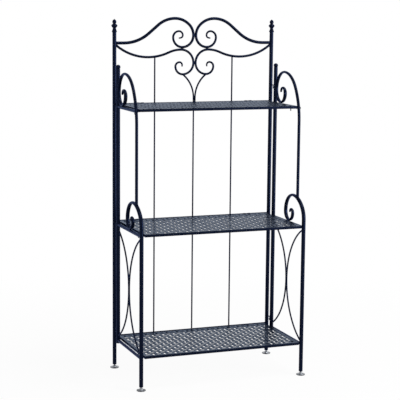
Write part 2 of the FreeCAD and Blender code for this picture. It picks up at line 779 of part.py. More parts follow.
def make_tabs(side, sign):
    """Tabs from the crossbars that reach under the shelf's frame, just in front of the pegs."""
    tabs = []
    x = sign * half_spacing
    for name, height, depth in SHELVES:
        label = "%s_tab_%s" % (name, side)
        y = back_y - PEG_DEPTH_SHARE * depth - size.tab_gap - size.tab_length
        top = height - size.shelf_leg / 2 - size.rest_clearance
        low_x = x - size.tab_reach if sign > 0 else x
        plate = box(label + "_plate", size.tab_reach, size.tab_length, size.tab_thickness, low_x, y,
                    top - size.tab_thickness)
        bar_z = height - size.crossbar_drop
        bar_run = size.tab_length + 2 * size.overrun
        bar = cylinder(label + "_bar", crossbar_radius, bar_run, x, y - size.overrun, bar_z, "Y")
        tabs.append(cut(label, plate, [bar]))
    keep(group("shelf_tabs_" + side, tabs), "shelf_tabs_" + side)


def make_shelf(name, height, depth):
    leg = size.shelf_leg
    thickness = size.shelf_leg_thickness
    low = height - leg / 2
    rear = back_y - shelf_setback
    front = back_y - depth - leg / 2
    width = 2 * half_shelf
    run = rear - front

    whole = box(name + "_frame_block", width, run, leg, -half_shelf, front, low)
    hollow_height = leg - thickness + size.overrun
    hollow = box(name + "_frame_hollow", width - 2 * thickness, run - 2 * thickness, hollow_height,
                 thickness - half_shelf, front + thickness, low - size.overrun)
    window = box(name + "_frame_window", width - 2 * leg, run - 2 * leg, leg + 2 * size.overrun,
                 leg - half_shelf, front + leg, low - size.overrun)
    keep(cut(name + "_shelf_frame", whole, [hollow, window]), name + "_shelf_frame")

    punched = punched_sheet(half_shelf.value, front.value, rear.value, (low + leg).value)
    keep(solid(name + "_shelf_sheet", punched), name + "_shelf_sheet")
    make_shelf_barrels(name, height)
    peg_radius = size.peg_diameter / 2
    peg_y = back_y - PEG_DEPTH_SHARE * depth
    peg_run = size.peg_length + leg / 2
    pegs = []
    for side, sign in SIDES:
        x = sign * (half_shelf + peg_radius)
        peg = "%s_peg_%s" % (name, side)
        pegs.append(cylinder(peg, peg_radius, peg_run, x, peg_y, low - size.peg_length))
    keep(group(name + "_shelf_pegs", pegs), name + "_shelf_pegs")


def punched_sheet(half_width, front, rear, low):
    """A sheet with slots set alternately along and across, like a basket weave."""
    inset = size.shelf_leg.value + size.slot_margin.value
    width = 2 * (half_width - inset)
    run = rear - front - 2 * inset
    columns = max(1, round(width / size.slot_pitch.value))
    rows = max(1, round(run / size.slot_pitch.value))
    pitch_x = width / columns
    pitch_y = run / rows
    long_half = SLOT_LENGTH_SHARE * min(pitch_x, pitch_y) / 2
    short_half = SLOT_WIDTH_SHARE * min(pitch_x, pitch_y) / 2
    face = [rectangle(0, (front + rear) / 2, half_width, (rear - front) / 2, low)]
    for column in range(columns):
        for row in range(rows):
            x = inset - half_width + (column + 0.5) * pitch_x
            y = front + inset + (row + 0.5) * pitch_y
            along = (column + row) % 2 == 0
            half_x, half_y = (long_half, short_half) if along else (short_half, long_half)
            face.append(rectangle(x, y, half_x, half_y, low))
    punched = Part.makeFace(face, "Part::FaceMakerBullseye")
    return punched.extrude(Vector(0, 0, size.sheet_thickness.value))


def rectangle(x, y, half_x, half_y, z):
    corners = [(-1, -1), (1, -1), (1, 1), (-1, 1), (-1, -1)]
    return Part.makePolygon([Vector(x + a * half_x, y + b * half_y, z) for a, b in corners])


def make_shelf_pins():
    """Hinge pins with a fixed barrel at each end, welded to the front of the back rails."""
    run = 3 * size.barrel_length + 2 * size.barrel_gap
    pins = []
    for name, height, _ in SHELVES:
        rail = cylinder(name + "_pin_rail", back_rail_radius, size.post_spacing, -half_spacing, back_y,
                        height + rail_lift, "X")
        y = back_y - hinge_reach
        z = height + hinge_lift
        for side, sign in SIDES:
            label = "%s_shelf_pin_%s" % (name, side)
            start = sign * HINGE_PLACE_SHARE * half_shelf - run / 2
            pin = cylinder(label + "_rod", size.shelf_pin_diameter / 2, run, start, y, z, "X")
            far = start + run - size.barrel_length
            barrels = [
                cylinder("%s_barrel_%d" % (label, index), barrel_radius, size.barrel_length, x, y, z, "X")
                for index, x in enumerate((start, far))
            ]
            pins.append(cut(label, fuse(label + "_whole", [pin] + barrels), [rail]))
    keep(group("shelf_hinge_pins", pins), "shelf_hinge_pins")


def make_shelf_barrels(name, height):
    """Loose barrels between the fixed ones, each on a leaf from the back of the shelf's frame."""
    y = back_y - hinge_reach
    z = height + hinge_lift
    bore = size.shelf_pin_diameter / 2 + size.hinge_clearance
    barrels = []
    for side, sign in SIDES:
        label = "%s_barrel_%s" % (name, side)
        x = sign * HINGE_PLACE_SHARE * half_shelf - size.barrel_length / 2
        ring = cylinder(label + "_ring", loose_radius, size.barrel_length, x, y, z, "X")
        leaf = box(label + "_leaf", size.barrel_length, shelf_setback - hinge_reach, size.leaf_thickness,
                   x, back_y - shelf_setback, z - loose_radius)
        long_run = size.barrel_length + 2 * size.overrun
        hole = cylinder(label + "_hole", bore, long_run, x - size.overrun, y, z, "X")
        barrels.append(cut(label, fuse(label + "_whole", [ring, leaf]), [hole]))
    keep(group(name + "_shelf_barrels", barrels), name + "_shelf_barrels")


def make_feet():
    """Turned levelling feet, each with its stud in the insert of a post."""
    radius = size.foot_diameter / 2
    hub = size.foot_hub_diameter / 2
    stud = size.stud_diameter / 2
    top = size.foot_hub_height + size.stud_length
    corners = [
        (0, 0),
        (radius - size.foot_edge, 0),
        (radius, size.foot_edge),
        (radius, size.foot_rim),
        (hub, size.foot_rim + size.foot_edge),
        (hub, size.foot_hub_height),
        (stud, size.foot_hub_height),
        (stud, top),
        (0, top),
    ]
    for end, y in (("back", back_y), ("front", front_y)):
        for side, sign in SIDES:
            label = "%s_%s_foot" % (end, side)
            foot = turned(label, corners, {})
            place(foot, sign * half_spacing, y, 0)
            keep(foot, label)


def make_rack():
    make_back_posts()
    make_finials()
    make_crest()
    make_back_rails()
    make_back_rods()
    make_hinge_pins()
    make_shelf_pins()
    inserts = [make_insert("back_insert_" + side, sign * half_spacing, back_y) for side, sign in SIDES]
    keep(group("back_inserts", inserts), "back_inserts")
    for side, sign in SIDES:
        make_side_frame(side, sign)
    for name, height, depth in SHELVES:
        make_shelf(name, height, depth)
    make_feet()


def write_parts():
    """Check every object of the document, then write each piece to its own file."""
    doc.recompute()
    faults = [item.Name for item in doc.Objects if "Invalid" in item.State or "Error" in item.State]
    faults += [piece.Label for piece in pieces if piece.Shape.isNull() or not piece.Shape.isValid()]
    if faults:
        raise RuntimeError("pieces that failed: " + ", ".join(faults))
    os.makedirs("parts", exist_ok=True)
    for piece in pieces:
        piece.Shape.exportStep("parts/%s.step" % piece.Label)
        print("%-24s solids %d  volume %.0f" % (piece.Label, len(piece.Shape.Solids), piece.Shape.Volume))


make_rack()
write_parts()
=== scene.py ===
"""Looks of the folding bakers rack: enamelled scrollwork, punched shelves and plated levelling feet.

Sizes are in metres and turns in degrees, unless a docstring says otherwise.
"""

import itertools
import json
import logging
import math
from abc import ABC, abstractmethod
from collections.abc import Mapping, Sequence
from dataclasses import dataclass, field
from enum import Enum
from typing import Any, Union

import bmesh
import bpy
import numpy as np
from mathutils import Matrix, Vector

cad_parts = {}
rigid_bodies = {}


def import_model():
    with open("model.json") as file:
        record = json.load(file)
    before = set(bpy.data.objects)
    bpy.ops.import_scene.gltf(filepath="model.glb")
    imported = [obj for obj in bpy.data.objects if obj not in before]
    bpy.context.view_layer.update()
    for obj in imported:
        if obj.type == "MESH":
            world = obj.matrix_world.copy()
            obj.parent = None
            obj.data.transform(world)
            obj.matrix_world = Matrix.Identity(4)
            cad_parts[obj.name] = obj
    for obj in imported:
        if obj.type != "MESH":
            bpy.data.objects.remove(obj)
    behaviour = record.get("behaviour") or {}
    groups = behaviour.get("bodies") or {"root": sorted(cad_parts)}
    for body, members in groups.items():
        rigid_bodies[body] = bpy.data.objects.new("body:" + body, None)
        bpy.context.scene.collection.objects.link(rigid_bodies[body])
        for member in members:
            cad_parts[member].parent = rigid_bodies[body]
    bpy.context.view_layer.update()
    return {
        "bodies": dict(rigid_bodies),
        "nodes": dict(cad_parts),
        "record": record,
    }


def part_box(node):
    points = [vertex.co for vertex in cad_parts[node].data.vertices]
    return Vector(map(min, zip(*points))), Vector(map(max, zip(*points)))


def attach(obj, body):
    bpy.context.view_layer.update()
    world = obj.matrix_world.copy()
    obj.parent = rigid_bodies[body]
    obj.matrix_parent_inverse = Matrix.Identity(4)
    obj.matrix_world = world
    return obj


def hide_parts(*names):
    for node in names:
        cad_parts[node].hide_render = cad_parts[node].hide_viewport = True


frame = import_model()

log = logging.getLogger("bakers_rack")

Array = np.ndarray
Node = bpy.types.Node
Piece = bpy.types.Object
Socket = bpy.types.NodeSocket
Colour = tuple[float, float, float, float]
Radii = tuple[float, float, float]
Move = tuple[float, float, float, float]
Number = Union[float, "Signal"]

# Directions of the rack: to the right, to the back and up, and the corners of a level square
ACROSS, DEEP, UP = np.eye(3)
CORNERS = np.array(((-1.0, -1.0), (1.0, -1.0), (1.0, 1.0), (-1.0, 1.0)))

# Colour of what glows white, and the build of every noise
WHITE: Colour = (1.0, 1.0, 1.0, 1.0)
NOISE_ROUGHNESS = 0.55
NOISE_MIDDLE = 0.5

# How finely bent bars are divided, and the fold above which an edge stays sharp
ARC_STEP_DEGREES = 4.0
STRAIGHT_STEPS = 8
BAR_SIDES = 24
TIP_RINGS = 6
SHARP_DEGREES = 35.0

# How far a bar's end sinks into its host, and what is left between bars that touch
SINK = 0.0005
WELD_GAP = 0.0001

# How many radii outside its host the axis of a welded bar is taken up
STAND_OFF = 3.0

outer = np.multiply.outer


class Side(Enum):
    """The two hands of the rack, with the sign of their X."""

    LEFT = -1
    RIGHT = 1

    @property
    def word(self) -> str:
        """Word that ends the names of this side's pieces."""
        return self.name.lower()


class Slot(Enum):
    """Material slots of the record."""

    BARS = "painted_bars"
    SHEET = "painted_sheet"
    FEET = "plated_feet"
    INSERTS = "plated_inserts"


class Level(Enum):
    """The three shelves, from the floor up."""

    BOTTOM = "bottom"
    MIDDLE = "middle"
    TOP = "top"


def middle_of(node: str) -> Array:
    """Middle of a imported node's box."""
    low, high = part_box(node)
    return np.array((low + high) / 2)


def span_of(node: str) -> Array:
    """Width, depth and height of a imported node's box."""
    low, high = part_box(node)
    return np.array(high - low)


class Signal:
    """A shader value that can stand in a Python sum; each operator adds one Math node."""

    def __init__(self, board: "NodeBoard", socket: Socket) -> None:
        """Keep the board that the value lives on and the socket that gives it."""
        self.board = board
        self.socket = socket

    def combine(self, operation: str, first: Number, second: Number) -> "Signal":
        """Add one Math node.

        Args:
            operation: Name of the Math node's operation.
            first: Left side of the sum.
            second: Right side of the sum.

        Returns:
            The node's result.
        """
        return self.board.signal("ShaderNodeMath", 0, {"operation": operation}, {0: first, 1: second})

    def __add__(self, other: Number) -> "Signal":
        """Sum."""
        return self.combine("ADD", self, other)

    def __radd__(self, other: Number) -> "Signal":
        """Sum with a number on the left."""
        return self.combine("ADD", other, self)

    def __sub__(self, other: Number) -> "Signal":
        """Difference."""
        return self.combine("SUBTRACT", self, other)

    def __rsub__(self, other: Number) -> "Signal":
        """Difference with a number on the left."""
        return self.combine("SUBTRACT", other, self)

    def __mul__(self, other: Number) -> "Signal":
        """Product."""
        return self.combine("MULTIPLY", self, other)

    def __rmul__(self, other: Number) -> "Signal":
        """Product with a number on the left."""
        return self.combine("MULTIPLY", other, self)

    def __pow__(self, other: Number) -> "Signal":
        """Power."""
        return self.combine("POWER", self, other)

    def at_least(self, other: Number) -> "Signal":
        """The larger of two values."""
        return self.combine("MAXIMUM", self, other)

    def between(self, low: float, high: float) -> "Signal":
        """The low number where this value is zero, the high one where it is one."""
        return low + (high - low) * self


class NodeBoard:
    """The node tree of one material or world, with one method that makes any node."""

    def __init__(self, tree: bpy.types.NodeTree) -> None:
        """Empty the tree."""
        self.tree = tree
        self.tree.nodes.clear()

    def make(
        self,
        kind: str,
        settings: Mapping[str, Any] | None = None,
        inputs: Mapping[str | int, Any] | None = None,
    ) -> Node:
        """Make a node.

        Args:
            kind: Type of the node.
            settings: Properties of the node, which are set first.
            inputs: Values, sockets or signals for the node's sockets.

        Returns:
            The node.
        """
        node = self.tree.nodes.new(kind)
        for name, value in (settings or {}).items():
            setattr(node, name, value)
        for name, value in (inputs or {}).items():
            source = value.socket if isinstance(value, Signal) else value
            if isinstance(source, Socket):
                self.tree.links.new(source, node.inputs[name])
            else:
                node.inputs[name].default_value = source
        return node

    def signal(self, kind: str, output: str | int, *rest: Mapping) -> Signal:
        """Make a node and return one of its outputs as a signal."""
        return Signal(self, self.make(kind, *rest).outputs[output])

    def place(self) -> Socket:
        """The piece's own coordinates, in metres."""
        return self.make("ShaderNodeTexCoord").outputs["Object"]

    def noise(self, cycles: float, detail: float) -> Signal:
        """Noise about NOISE_MIDDLE, with so many cycles to the metre."""
        inputs = {"Vector": self.place(), "Scale": cycles, "Detail": detail, "Roughness": NOISE_ROUGHNESS}
        return self.signal("ShaderNodeTexNoise", "Fac", {"noise_dimensions": "3D"}, inputs)

    def mix(self, factor: Number, first: Any, second: Any) -> Socket:
        """Mix two colours by a value; the node's sockets 6 and 7 are its colours, output 2 the mix."""
        settings = {"data_type": "RGBA", "clamp_factor": True}
        return self.make("ShaderNodeMix", settings, {0: factor, 6: first, 7: second}).outputs[2]

    def height_of(self, vector: Socket) -> Signal:
        """The Z of a vector."""
        return self.signal("ShaderNodeSeparateXYZ", "Z", {}, {"Vector": vector})

    def upward(self) -> Signal:
        """How far a face looks up, from 0 for upright or hanging faces to 1 for level ones."""
        return self.height_of(self.make("ShaderNodeTexCoord").outputs["Normal"]).at_least(0.0)

    def ramp(self, value: Signal, ends: tuple[float, float], start: float = 0.0) -> Signal:
        """A straight climb from a start at the first end to one at the second, level outside them."""
        inputs = {"Value": value, "From Min": ends[0], "From Max": ends[1], "To Min": start, "To Max": 1.0}
        return self.signal("ShaderNodeMapRange", "Result", {"clamp": True}, inputs)

    def ripple(self, height: Signal, depth: float) -> Socket:
        """Normal of a surface with a relief of so many metres."""
        inputs = {"Height": height, "Distance": depth, "Strength": 1.0}
        return self.make("ShaderNodeBump", {}, inputs).outputs["Normal"]

    def blend(self, factor: Signal, first: Node, second: Node) -> Node:
        """Mix two shaders by a value."""
        inputs = {0: factor, 1: first.outputs[0], 2: second.outputs[0]}
        return self.make("ShaderNodeMixShader", {}, inputs)

    def finish(self, shader: Node, output: str = "ShaderNodeOutputMaterial") -> None:
        """Join a shader to the tree's output."""
        self.make(output, {}, {"Surface": shader.outputs[0]})


def new_board(name: str) -> tuple[bpy.types.Material, NodeBoard]:
    """Make an empty node material.

    Args:
        name: Name of the material.

    Returns:
        The material and its board.
    """
    material = bpy.data.materials.new(name)
    material.use_nodes = True
    return material, NodeBoard(material.node_tree)


@dataclass(frozen=True)
class Enamel:
    """Sprayed enamel: a dark film with slow clouds, pale dust and a painted sheen on level faces, and orange
    peel.
    """

    name: str
    film: Colour
    cloud: Colour
    # Colour of the pale dust and painted sheen laid on faces that look up.
    bloom: Colour
    roughness: tuple[float, float] = (0.22, 0.34)
    metallic: float = 0.70
    specular: float = 0.16
    tint: Colour = (0.35, 0.48, 0.75, 1)
    bloom_strength: float = 0.20
    bloom_power: float = 3.0
    cloud_cycles: float = 26.0
    cloud_detail: float = 3.0
    peel_cycles: float = 520.0
    peel_detail: float = 2.0
    peel_depth: float = 0.00003
    peel_roughness: float = 0.06

    def material(self) -> bpy.types.Material:
        """Mix the film's colours by clouds, lay pale dust and a painted sheen where faces look up, and
        ripple the gloss.

        Returns:
            The finish's material.
        """
        material, board = new_board(self.name)
        clouds = board.noise(self.cloud_cycles, self.cloud_detail)
        peel = board.noise(self.peel_cycles, self.peel_detail)
        film = board.mix(clouds, self.film, self.cloud)
        # Pale dust and a painted sheen: a lighter colour on faces that look up, more where they lie level.
        bloom = board.upward() ** self.bloom_power * clouds * self.bloom_strength
        inputs = {
            "Base Color": board.mix(bloom, film, self.bloom),
            "Metallic": self.metallic,
            "Roughness": clouds.between(*self.roughness) + self.peel_roughness * (peel - NOISE_MIDDLE),
            "Specular IOR Level": self.specular,
            "Specular Tint": self.tint,
            "Normal": board.ripple(peel, self.peel_depth),
        }
        board.finish(board.make("ShaderNodeBsdfPrincipled", {}, inputs))
        return material


@dataclass(frozen=True)
class Zinc:
    """Zinc plate: grey crystals of uneven brightness and a fine turned grain, with painted shade that
    darkens it near the floor.
    """

    name: str
    bright: Colour
    dull: Colour
    # Colour of the painted shade near the floor, and the heights over which it fades out.
    stained: Colour = (0.030, 0.033, 0.040, 1)
    stain_heights: tuple[float, float] = (0.0026, 0.0042)
    roughness: tuple[float, float] = (0.26, 0.46)
    crystal_cycles: float = 420.0
    crystal_share: float = 0.5
    cloud_cycles: float = 90.0
    cloud_detail: float = 4.0
    cloud_share: float = 0.8
    brightening: float = 0.1
    grain_cycles: float = 1400.0
    grain_detail: float = 2.0
    grain_depth: float = 0.00003
    grain_roughness: float = 0.10

    def material(self) -> bpy.types.Material:
        """Mix bright and dull plate by crystals and clouds, paint shade on its foot, and cut the grain.

        Returns:
            The finish's material.
        """
        material, board = new_board(self.name)
        cells = {"Vector": board.place(), "Scale": self.crystal_cycles}
        crystal = board.signal("ShaderNodeTexVoronoi", "Distance", {"feature": "F1"}, cells)
        cloud = board.noise(self.cloud_cycles, self.cloud_detail)
        grain = board.noise(self.grain_cycles, self.grain_detail)
        tone = self.crystal_share * crystal + self.cloud_share * cloud - self.brightening
        # Painted shade: the plate turns dark below the lower height, where the floor shades it.
        above_floor_shade = board.ramp(board.height_of(board.place()), self.stain_heights)
        inputs = {
            "Base Color": board.mix(above_floor_shade, self.stained, board.mix(tone, self.bright, self.dull)),
            "Metallic": 1.0,
            "Roughness": cloud.between(*self.roughness) + self.grain_roughness * (grain - NOISE_MIDDLE),
            "Normal": board.ripple(grain, self.grain_depth),
        }
        board.finish(board.make("ShaderNodeBsdfPrincipled", {}, inputs))
        return material


@dataclass
class Palette:
    """The finishes of the rack, one for each material slot."""

    # Each enamel's third colour is its pale dust and painted sheen on level faces.
    enamel: Enamel = Enamel(
        "bar_enamel", (0.0024, 0.0042, 0.0130, 1), (0.0040, 0.0063, 0.0180, 1), (0.045, 0.049, 0.062, 1)
    )
    sheet: Enamel = Enamel(
        "sheet_enamel", (0.0045, 0.0065, 0.0130, 1), (0.0080, 0.0105, 0.0190, 1), (0.060, 0.068, 0.090, 1),
        roughness=(0.30, 0.42), metallic=0.85, tint=(0.72, 0.82, 1.00, 1), bloom_strength=0.12,
    )
    feet: Zinc = Zinc("foot_zinc", (0.40, 0.42, 0.45, 1), (0.18, 0.19, 0.21, 1))
    inserts: Zinc = Zinc("insert_zinc", (0.46, 0.46, 0.47, 1), (0.28, 0.28, 0.29, 1), roughness=(0.4, 0.6))
    made: dict[Slot, bpy.types.Material] = field(default_factory=dict)

    def mix_all(self) -> None:
        """Make the four materials."""
        finishes = (self.enamel, self.sheet, self.feet, self.inserts)
        self.made = {slot: finish.material() for slot, finish in zip(Slot, finishes)}

    def dress(self, piece: Piece, slot: Slot) -> None:
        """Give a piece the finish of a slot."""
        piece.data.materials.clear()
        piece.data.materials.append(self.made[slot])

    def dress_nodes(self) -> None:
        """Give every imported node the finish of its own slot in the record."""
        for row in frame["record"]["subparts"]:
            self.dress(frame["nodes"][row["node"]], Slot(row["material_slot"]))


@dataclass
class Mesh:
    """Points and faces of a piece while it is worked out; shells are added one after the other."""

    points: list[Array] = field(default_factory=list)
    faces: list[Array] = field(default_factory=list)
    count: int = 0

    def add(self, points: Array, *faces: Array) -> "Mesh":
        """Add a shell.

        Args:
            points: Points of the shell, in a grid of any shape.
            faces: Blocks of faces, which are counted from the shell's own first point.

        Returns:
            This mesh.
        """
        flat = points.reshape(-1, 3)
        self.faces.extend(block + self.count for block in faces)
        self.points.append(flat)
        self.count += len(flat)
        return self

    def data(self, name: str) -> bpy.types.Mesh:
        """Hand the shells over to Blender.

        Args:
            name: Name of the mesh.

        Returns:
            The mesh, with its faces turned outwards and its creases kept sharp.
        """
        mesh = bpy.data.meshes.new(name)
        faces = list(itertools.chain.from_iterable(block.tolist() for block in self.faces))
        mesh.from_pydata(np.concatenate(self.points), [], faces)
        work = bmesh.new()
        work.from_mesh(mesh)
        bmesh.ops.recalc_face_normals(work, faces=work.faces)
        work.to_mesh(mesh)
        work.free()
        mesh.shade_smooth()
        mesh.set_sharp_from_angle(angle=math.radians(SHARP_DEGREES))
        return mesh


@dataclass
class SubAssembly(ABC):
    """Pieces that ride on one body of the rack, and the finishes that they are dressed in."""

    palette: Palette
    body: str = field(init=False)

    @abstractmethod
    def build(self) -> list[Piece]:
        """Build the pieces."""

    def lay(self, mesh: Mesh, name: str, slot: Slot = Slot.BARS) -> Piece:
        """Lay a mesh down as a piece that rides on this body.

        Args:
            mesh: The worked-out mesh.
            name: Name of the piece.
            slot: Finish of the piece.

        Returns:
            The piece.
        """
        made = bpy.data.objects.new(name, mesh.data(name))
        bpy.context.scene.collection.objects.link(made)
        self.palette.dress(made, slot)
        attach(made, self.body)
        return made

    def stand_in(self, mesh: Mesh, prefix: str, node: str, slot: Slot = Slot.BARS) -> Piece:
        """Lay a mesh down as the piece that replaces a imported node.

        Args:
            mesh: The worked-out mesh.
            prefix: What the piece's name puts before the node's.
            node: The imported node.
            slot: Finish of the piece.

        Returns:
            The piece.
        """
        made = self.lay(mesh, prefix + node, slot)
        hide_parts(node)
        return made


def full_turn(count: int) -> Array:
    """So many even angles of a full turn, in radians, from zero."""
    return np.linspace(0, 2 * math.pi, count, endpoint=False)


def arc(middle: tuple[float, float], radius: float, start: float, turn: float, count: int) -> Array:
    """Points of an arc: the middle plus the radius times the cosine and sine of an even angle.

    Args:
        middle: Middle of the arc.
        radius: Radius of the arc.
        start: Angle of its first point.
        turn: Angle from its first point to its last.
        count: How many points it has.

    Returns:
        The points, in a row.
    """
    angle = np.radians(np.linspace(start, start + turn, count))
    return np.array(middle) + radius * np.stack((np.cos(angle), np.sin(angle)), axis=-1)


def ring_quads(first: Array, second: Array) -> Array:
    """Quads between closed rings of point numbers, one ring in each row."""
    corners = (first, np.roll(first, -1, axis=-1), np.roll(second, -1, axis=-1), second)
    return np.stack(corners, axis=-1).reshape(-1, 4)


def tube_rings(rings: int, sides: int, closed: bool = False) -> Array:
    """Quads of a tube of rings, whose last ring joins the first where it is closed."""
    ring = np.arange(rings * sides).reshape(rings, sides)
    return ring_quads(ring, np.roll(ring, -1, axis=0)) if closed else ring_quads(ring[:-1], ring[1:])


def tube_faces(rings: int, sides: int) -> tuple[Array, Array]:
    """Quads of a tube of rings, and the flat face that closes each end."""
    ends = np.stack((np.arange(sides), np.arange(sides) + (rings - 1) * sides))
    return tube_rings(rings, sides), ends


@dataclass
class Line:
    """Stations along a bent bar, in the bar's own plane, with headings in radians."""

    u: Array
    z: Array
    heading: Array
    thickness: Array
    width: Array

    def rows(self) -> tuple[Array, ...]:
        """The line's five values, in the order of the fields."""
        return self.u, self.z, self.heading, self.thickness, self.width

    def after(self, u: float) -> "Line":
        """Cut off the start of the line.

        Args:
            u: Where the stretch that is kept starts.

        Returns:
            The line from where it first passes u, with a station worked out there.
        """
        first = int(np.argmax(self.u >= u))
        share = (u - self.u[first - 1]) / (self.u[first] - self.u[first - 1])
        starts = (row[first - 1] + share * (row[first] - row[first - 1]) for row in self.rows())
        return Line(*(np.concatenate(([start], row[first:])) for start, row in zip(starts, self.rows())))

    def with_root(self, z: Sequence[float], thickness: Sequence[float]) -> "Line":
        """Put round stations before the start, in line with it and headed as it is.

        Args:
            z: Heights of the stations.
            thickness: Their diameters.

        Returns:
            The longer line.
        """
        same = np.ones(len(z))
        roots = (same * self.u[0], z, same * self.heading[0], thickness, thickness)
        return Line(*(np.concatenate(pair) for pair in zip(roots, self.rows())))


def bend_line(u: float, z: float, heading: float, thickness: float, moves: Sequence[Move]) -> Line:
    """Stations along straight runs and tangent arcs.

    On an arc of signed radius r the heading h grows evenly, and the place is the start plus
    r times (sin h - sin of the first h) along u and minus r times the like cosines along z.

    Args:
        u: Start along the plane.
        z: Start height.
        heading: Start angle above level, in radians.
        thickness: Diameter at the start.
        moves: For each stretch a run or radius, a turn, and the thickness in the plane and the
            width across it at the end.

    Returns:
        The line, whose section changes evenly along each stretch.
    """
    parts = [np.array([[u], [z], [heading], [thickness], [thickness]])]
    for length, turn, thin, wide in moves:
        start_u, start_z, start, thickness, width = parts[-1][:, -1]
        steps = max(STRAIGHT_STEPS, math.ceil(abs(turn) / ARC_STEP_DEGREES))
        share = np.arange(1, steps + 1) / steps
        angle = start + math.radians(turn) * share
        if turn:
            radius = math.copysign(length, turn)
            along = radius * (np.sin(angle) - math.sin(start))
            climb = -radius * (np.cos(angle) - math.cos(start))
        else:
            along, climb = length * share * math.cos(start), length * share * math.sin(start)
        section = thickness + (thin - thickness) * share, width + (wide - width) * share
        parts.append(np.stack((start_u + along, start_z + climb, angle, *section)))
    return Line(*np.concatenate(parts, axis=1))


def round_moves(
    runs: Sequence[float], turns: Sequence[float], thick: float, tapers: Sequence[float]
) -> list[Move]:
    """Stretches of a round bar.

    Args:
        runs: Run or radius of each stretch.
        turns: Turn of each stretch.
        thick: Diameter that the shares refer to.
        tapers: Diameter at the end of each stretch, as a share.

    Returns:
        The moves for bend_line.
    """
    return [(run, turn, thick * share, thick * share) for run, turn, share in zip(runs, turns, tapers)]


@dataclass(frozen=True)
class Plane:
    """An upright plane: where u is zero, which way u runs, and the level direction across the plane."""

    origin: Array
    along: Array
    across: Array

    def spot(self, u: Array | float, z: Array | float) -> Array:
        """Points of the plane."""
        return self.origin + outer(u, self.along) + outer(z, UP)

    def tube(self, line: Line, round_tip: bool = True) -> tuple[Array, Array, Array]:
        """Carry an ellipse along a line.

        A ring is its station plus half the width times cosine across the plane, and half the
        thickness r times sine along the line's own normal. At a round tip the stations run on by
        r sin t, and the section shrinks with cos t.

        Args:
            line: Stations of the bar.
            round_tip: Whether the far end is rounded.

        Returns:
            Points, quads and end faces of the bar.
        """
        u, z, heading, thin, wide = line.u, line.z, line.heading, line.thickness / 2, line.width / 2
        if round_tip:
            fade = np.linspace(0, math.pi / 2, TIP_RINGS + 2)[1:-1]
            run = thin[-1] * np.sin(fade)
            u = np.concatenate((u, u[-1] + run * math.cos(heading[-1])))
            z = np.concatenate((z, z[-1] + run * math.sin(heading[-1])))
            thin, wide = (np.concatenate((half, half[-1] * np.cos(fade))) for half in (thin, wide))
            heading = np.concatenate((heading, np.full(TIP_RINGS, heading[-1])))
        angle = full_turn(BAR_SIDES)
        normal = outer(-np.sin(heading), self.along) + outer(np.cos(heading), UP)
        sideways = outer(outer(wide, np.cos(angle)), self.across)
        inward = outer(thin, np.sin(angle))[..., None] * normal[:, None]
        return self.spot(u, z)[:, None] + sideways + inward, *tube_faces(len(u), BAR_SIDES)


@dataclass
class WeldSeam:
    """Weld beads of one body: fillets round bar ends, and dabs where bars touch side by side."""

    bead: float = 0.0013
    stations: int = 40
    sides: int = 8
    ripples: int = 13
    ripple_share: float = 0.14
    dab_rings: int = 7
    dab_sides: int = 12
    mesh: Mesh = field(default_factory=Mesh)

    def ring(
        self, end: Array, way: Array, radius: float, host: Array, host_way: Array, host_radius: float
    ) -> None:
        """Add the fillet of a bar that ends on a round host bar.

        The seam is the curve where lines along the bar's skin meet the host: with w and d square to
        the host's axis, it lies t along the bar where |w + t d| is the host's radius. A small circle
        that swells and sinks in even ripples is carried round that curve.

        Args:
            end: A point on the bar's axis, outside the host.
            way: Direction of the bar towards the host.
            radius: Radius of the bar.
            host: A point on the host's axis.
            host_way: Direction of the host's axis.
            host_radius: Radius of the host.
        """
        way = way / np.linalg.norm(way)
        host_way = host_way / np.linalg.norm(host_way)
        first = np.cross(way, host_way)
        first = first / np.linalg.norm(first)
        angle = full_turn(self.stations)
        out = outer(np.cos(angle), first) + outer(np.sin(angle), np.cross(way, first))
        skin = end + radius * out
        offset = skin - host
        w = offset - outer(offset @ host_way, host_way)
        d = way - (way @ host_way) * host_way
        half = w @ d
        reach = half ** 2 - (d @ d) * ((w ** 2).sum(axis=1) - host_radius ** 2)
        t = (-half - np.sqrt(np.maximum(reach, 0))) / (d @ d)
        seam = skin + outer(t, way)
        swell = self.bead * (1 + self.ripple_share * np.sin(self.ripples * angle))
        turn = full_turn(self.sides)
        section = np.cos(turn)[None, :, None] * out[:, None] - np.sin(turn)[None, :, None] * way
        points = seam[:, None] + swell[:, None, None] * section
        self.mesh.add(points, tube_rings(self.stations, self.sides, closed=True))

    def dab(self, spot: Array, way: Array, across: Array, radii: Radii) -> None:
        """Add a dab: an ellipsoid, the spot plus three radii times the cosines and sines of a ball.

        Args:
            spot: Middle of the dab.
            way: Direction of its first radius.
            across: Direction of its second radius.
            radii: Radii along way, along across and square to both.
        """
        tilt = np.linspace(0, math.pi, self.dab_rings + 2)[1:-1]
        angle = full_turn(self.dab_sides)
        along = radii[0] * outer(np.cos(tilt), way)[:, None]
        flat = radii[1] * outer(np.cos(angle), across)
        tall = radii[2] * outer(np.sin(angle), np.cross(way, across))
        points = spot + along + np.sin(tilt)[:, None, None] * (flat + tall)[None]
        self.mesh.add(points, *tube_faces(self.dab_rings, self.dab_sides))


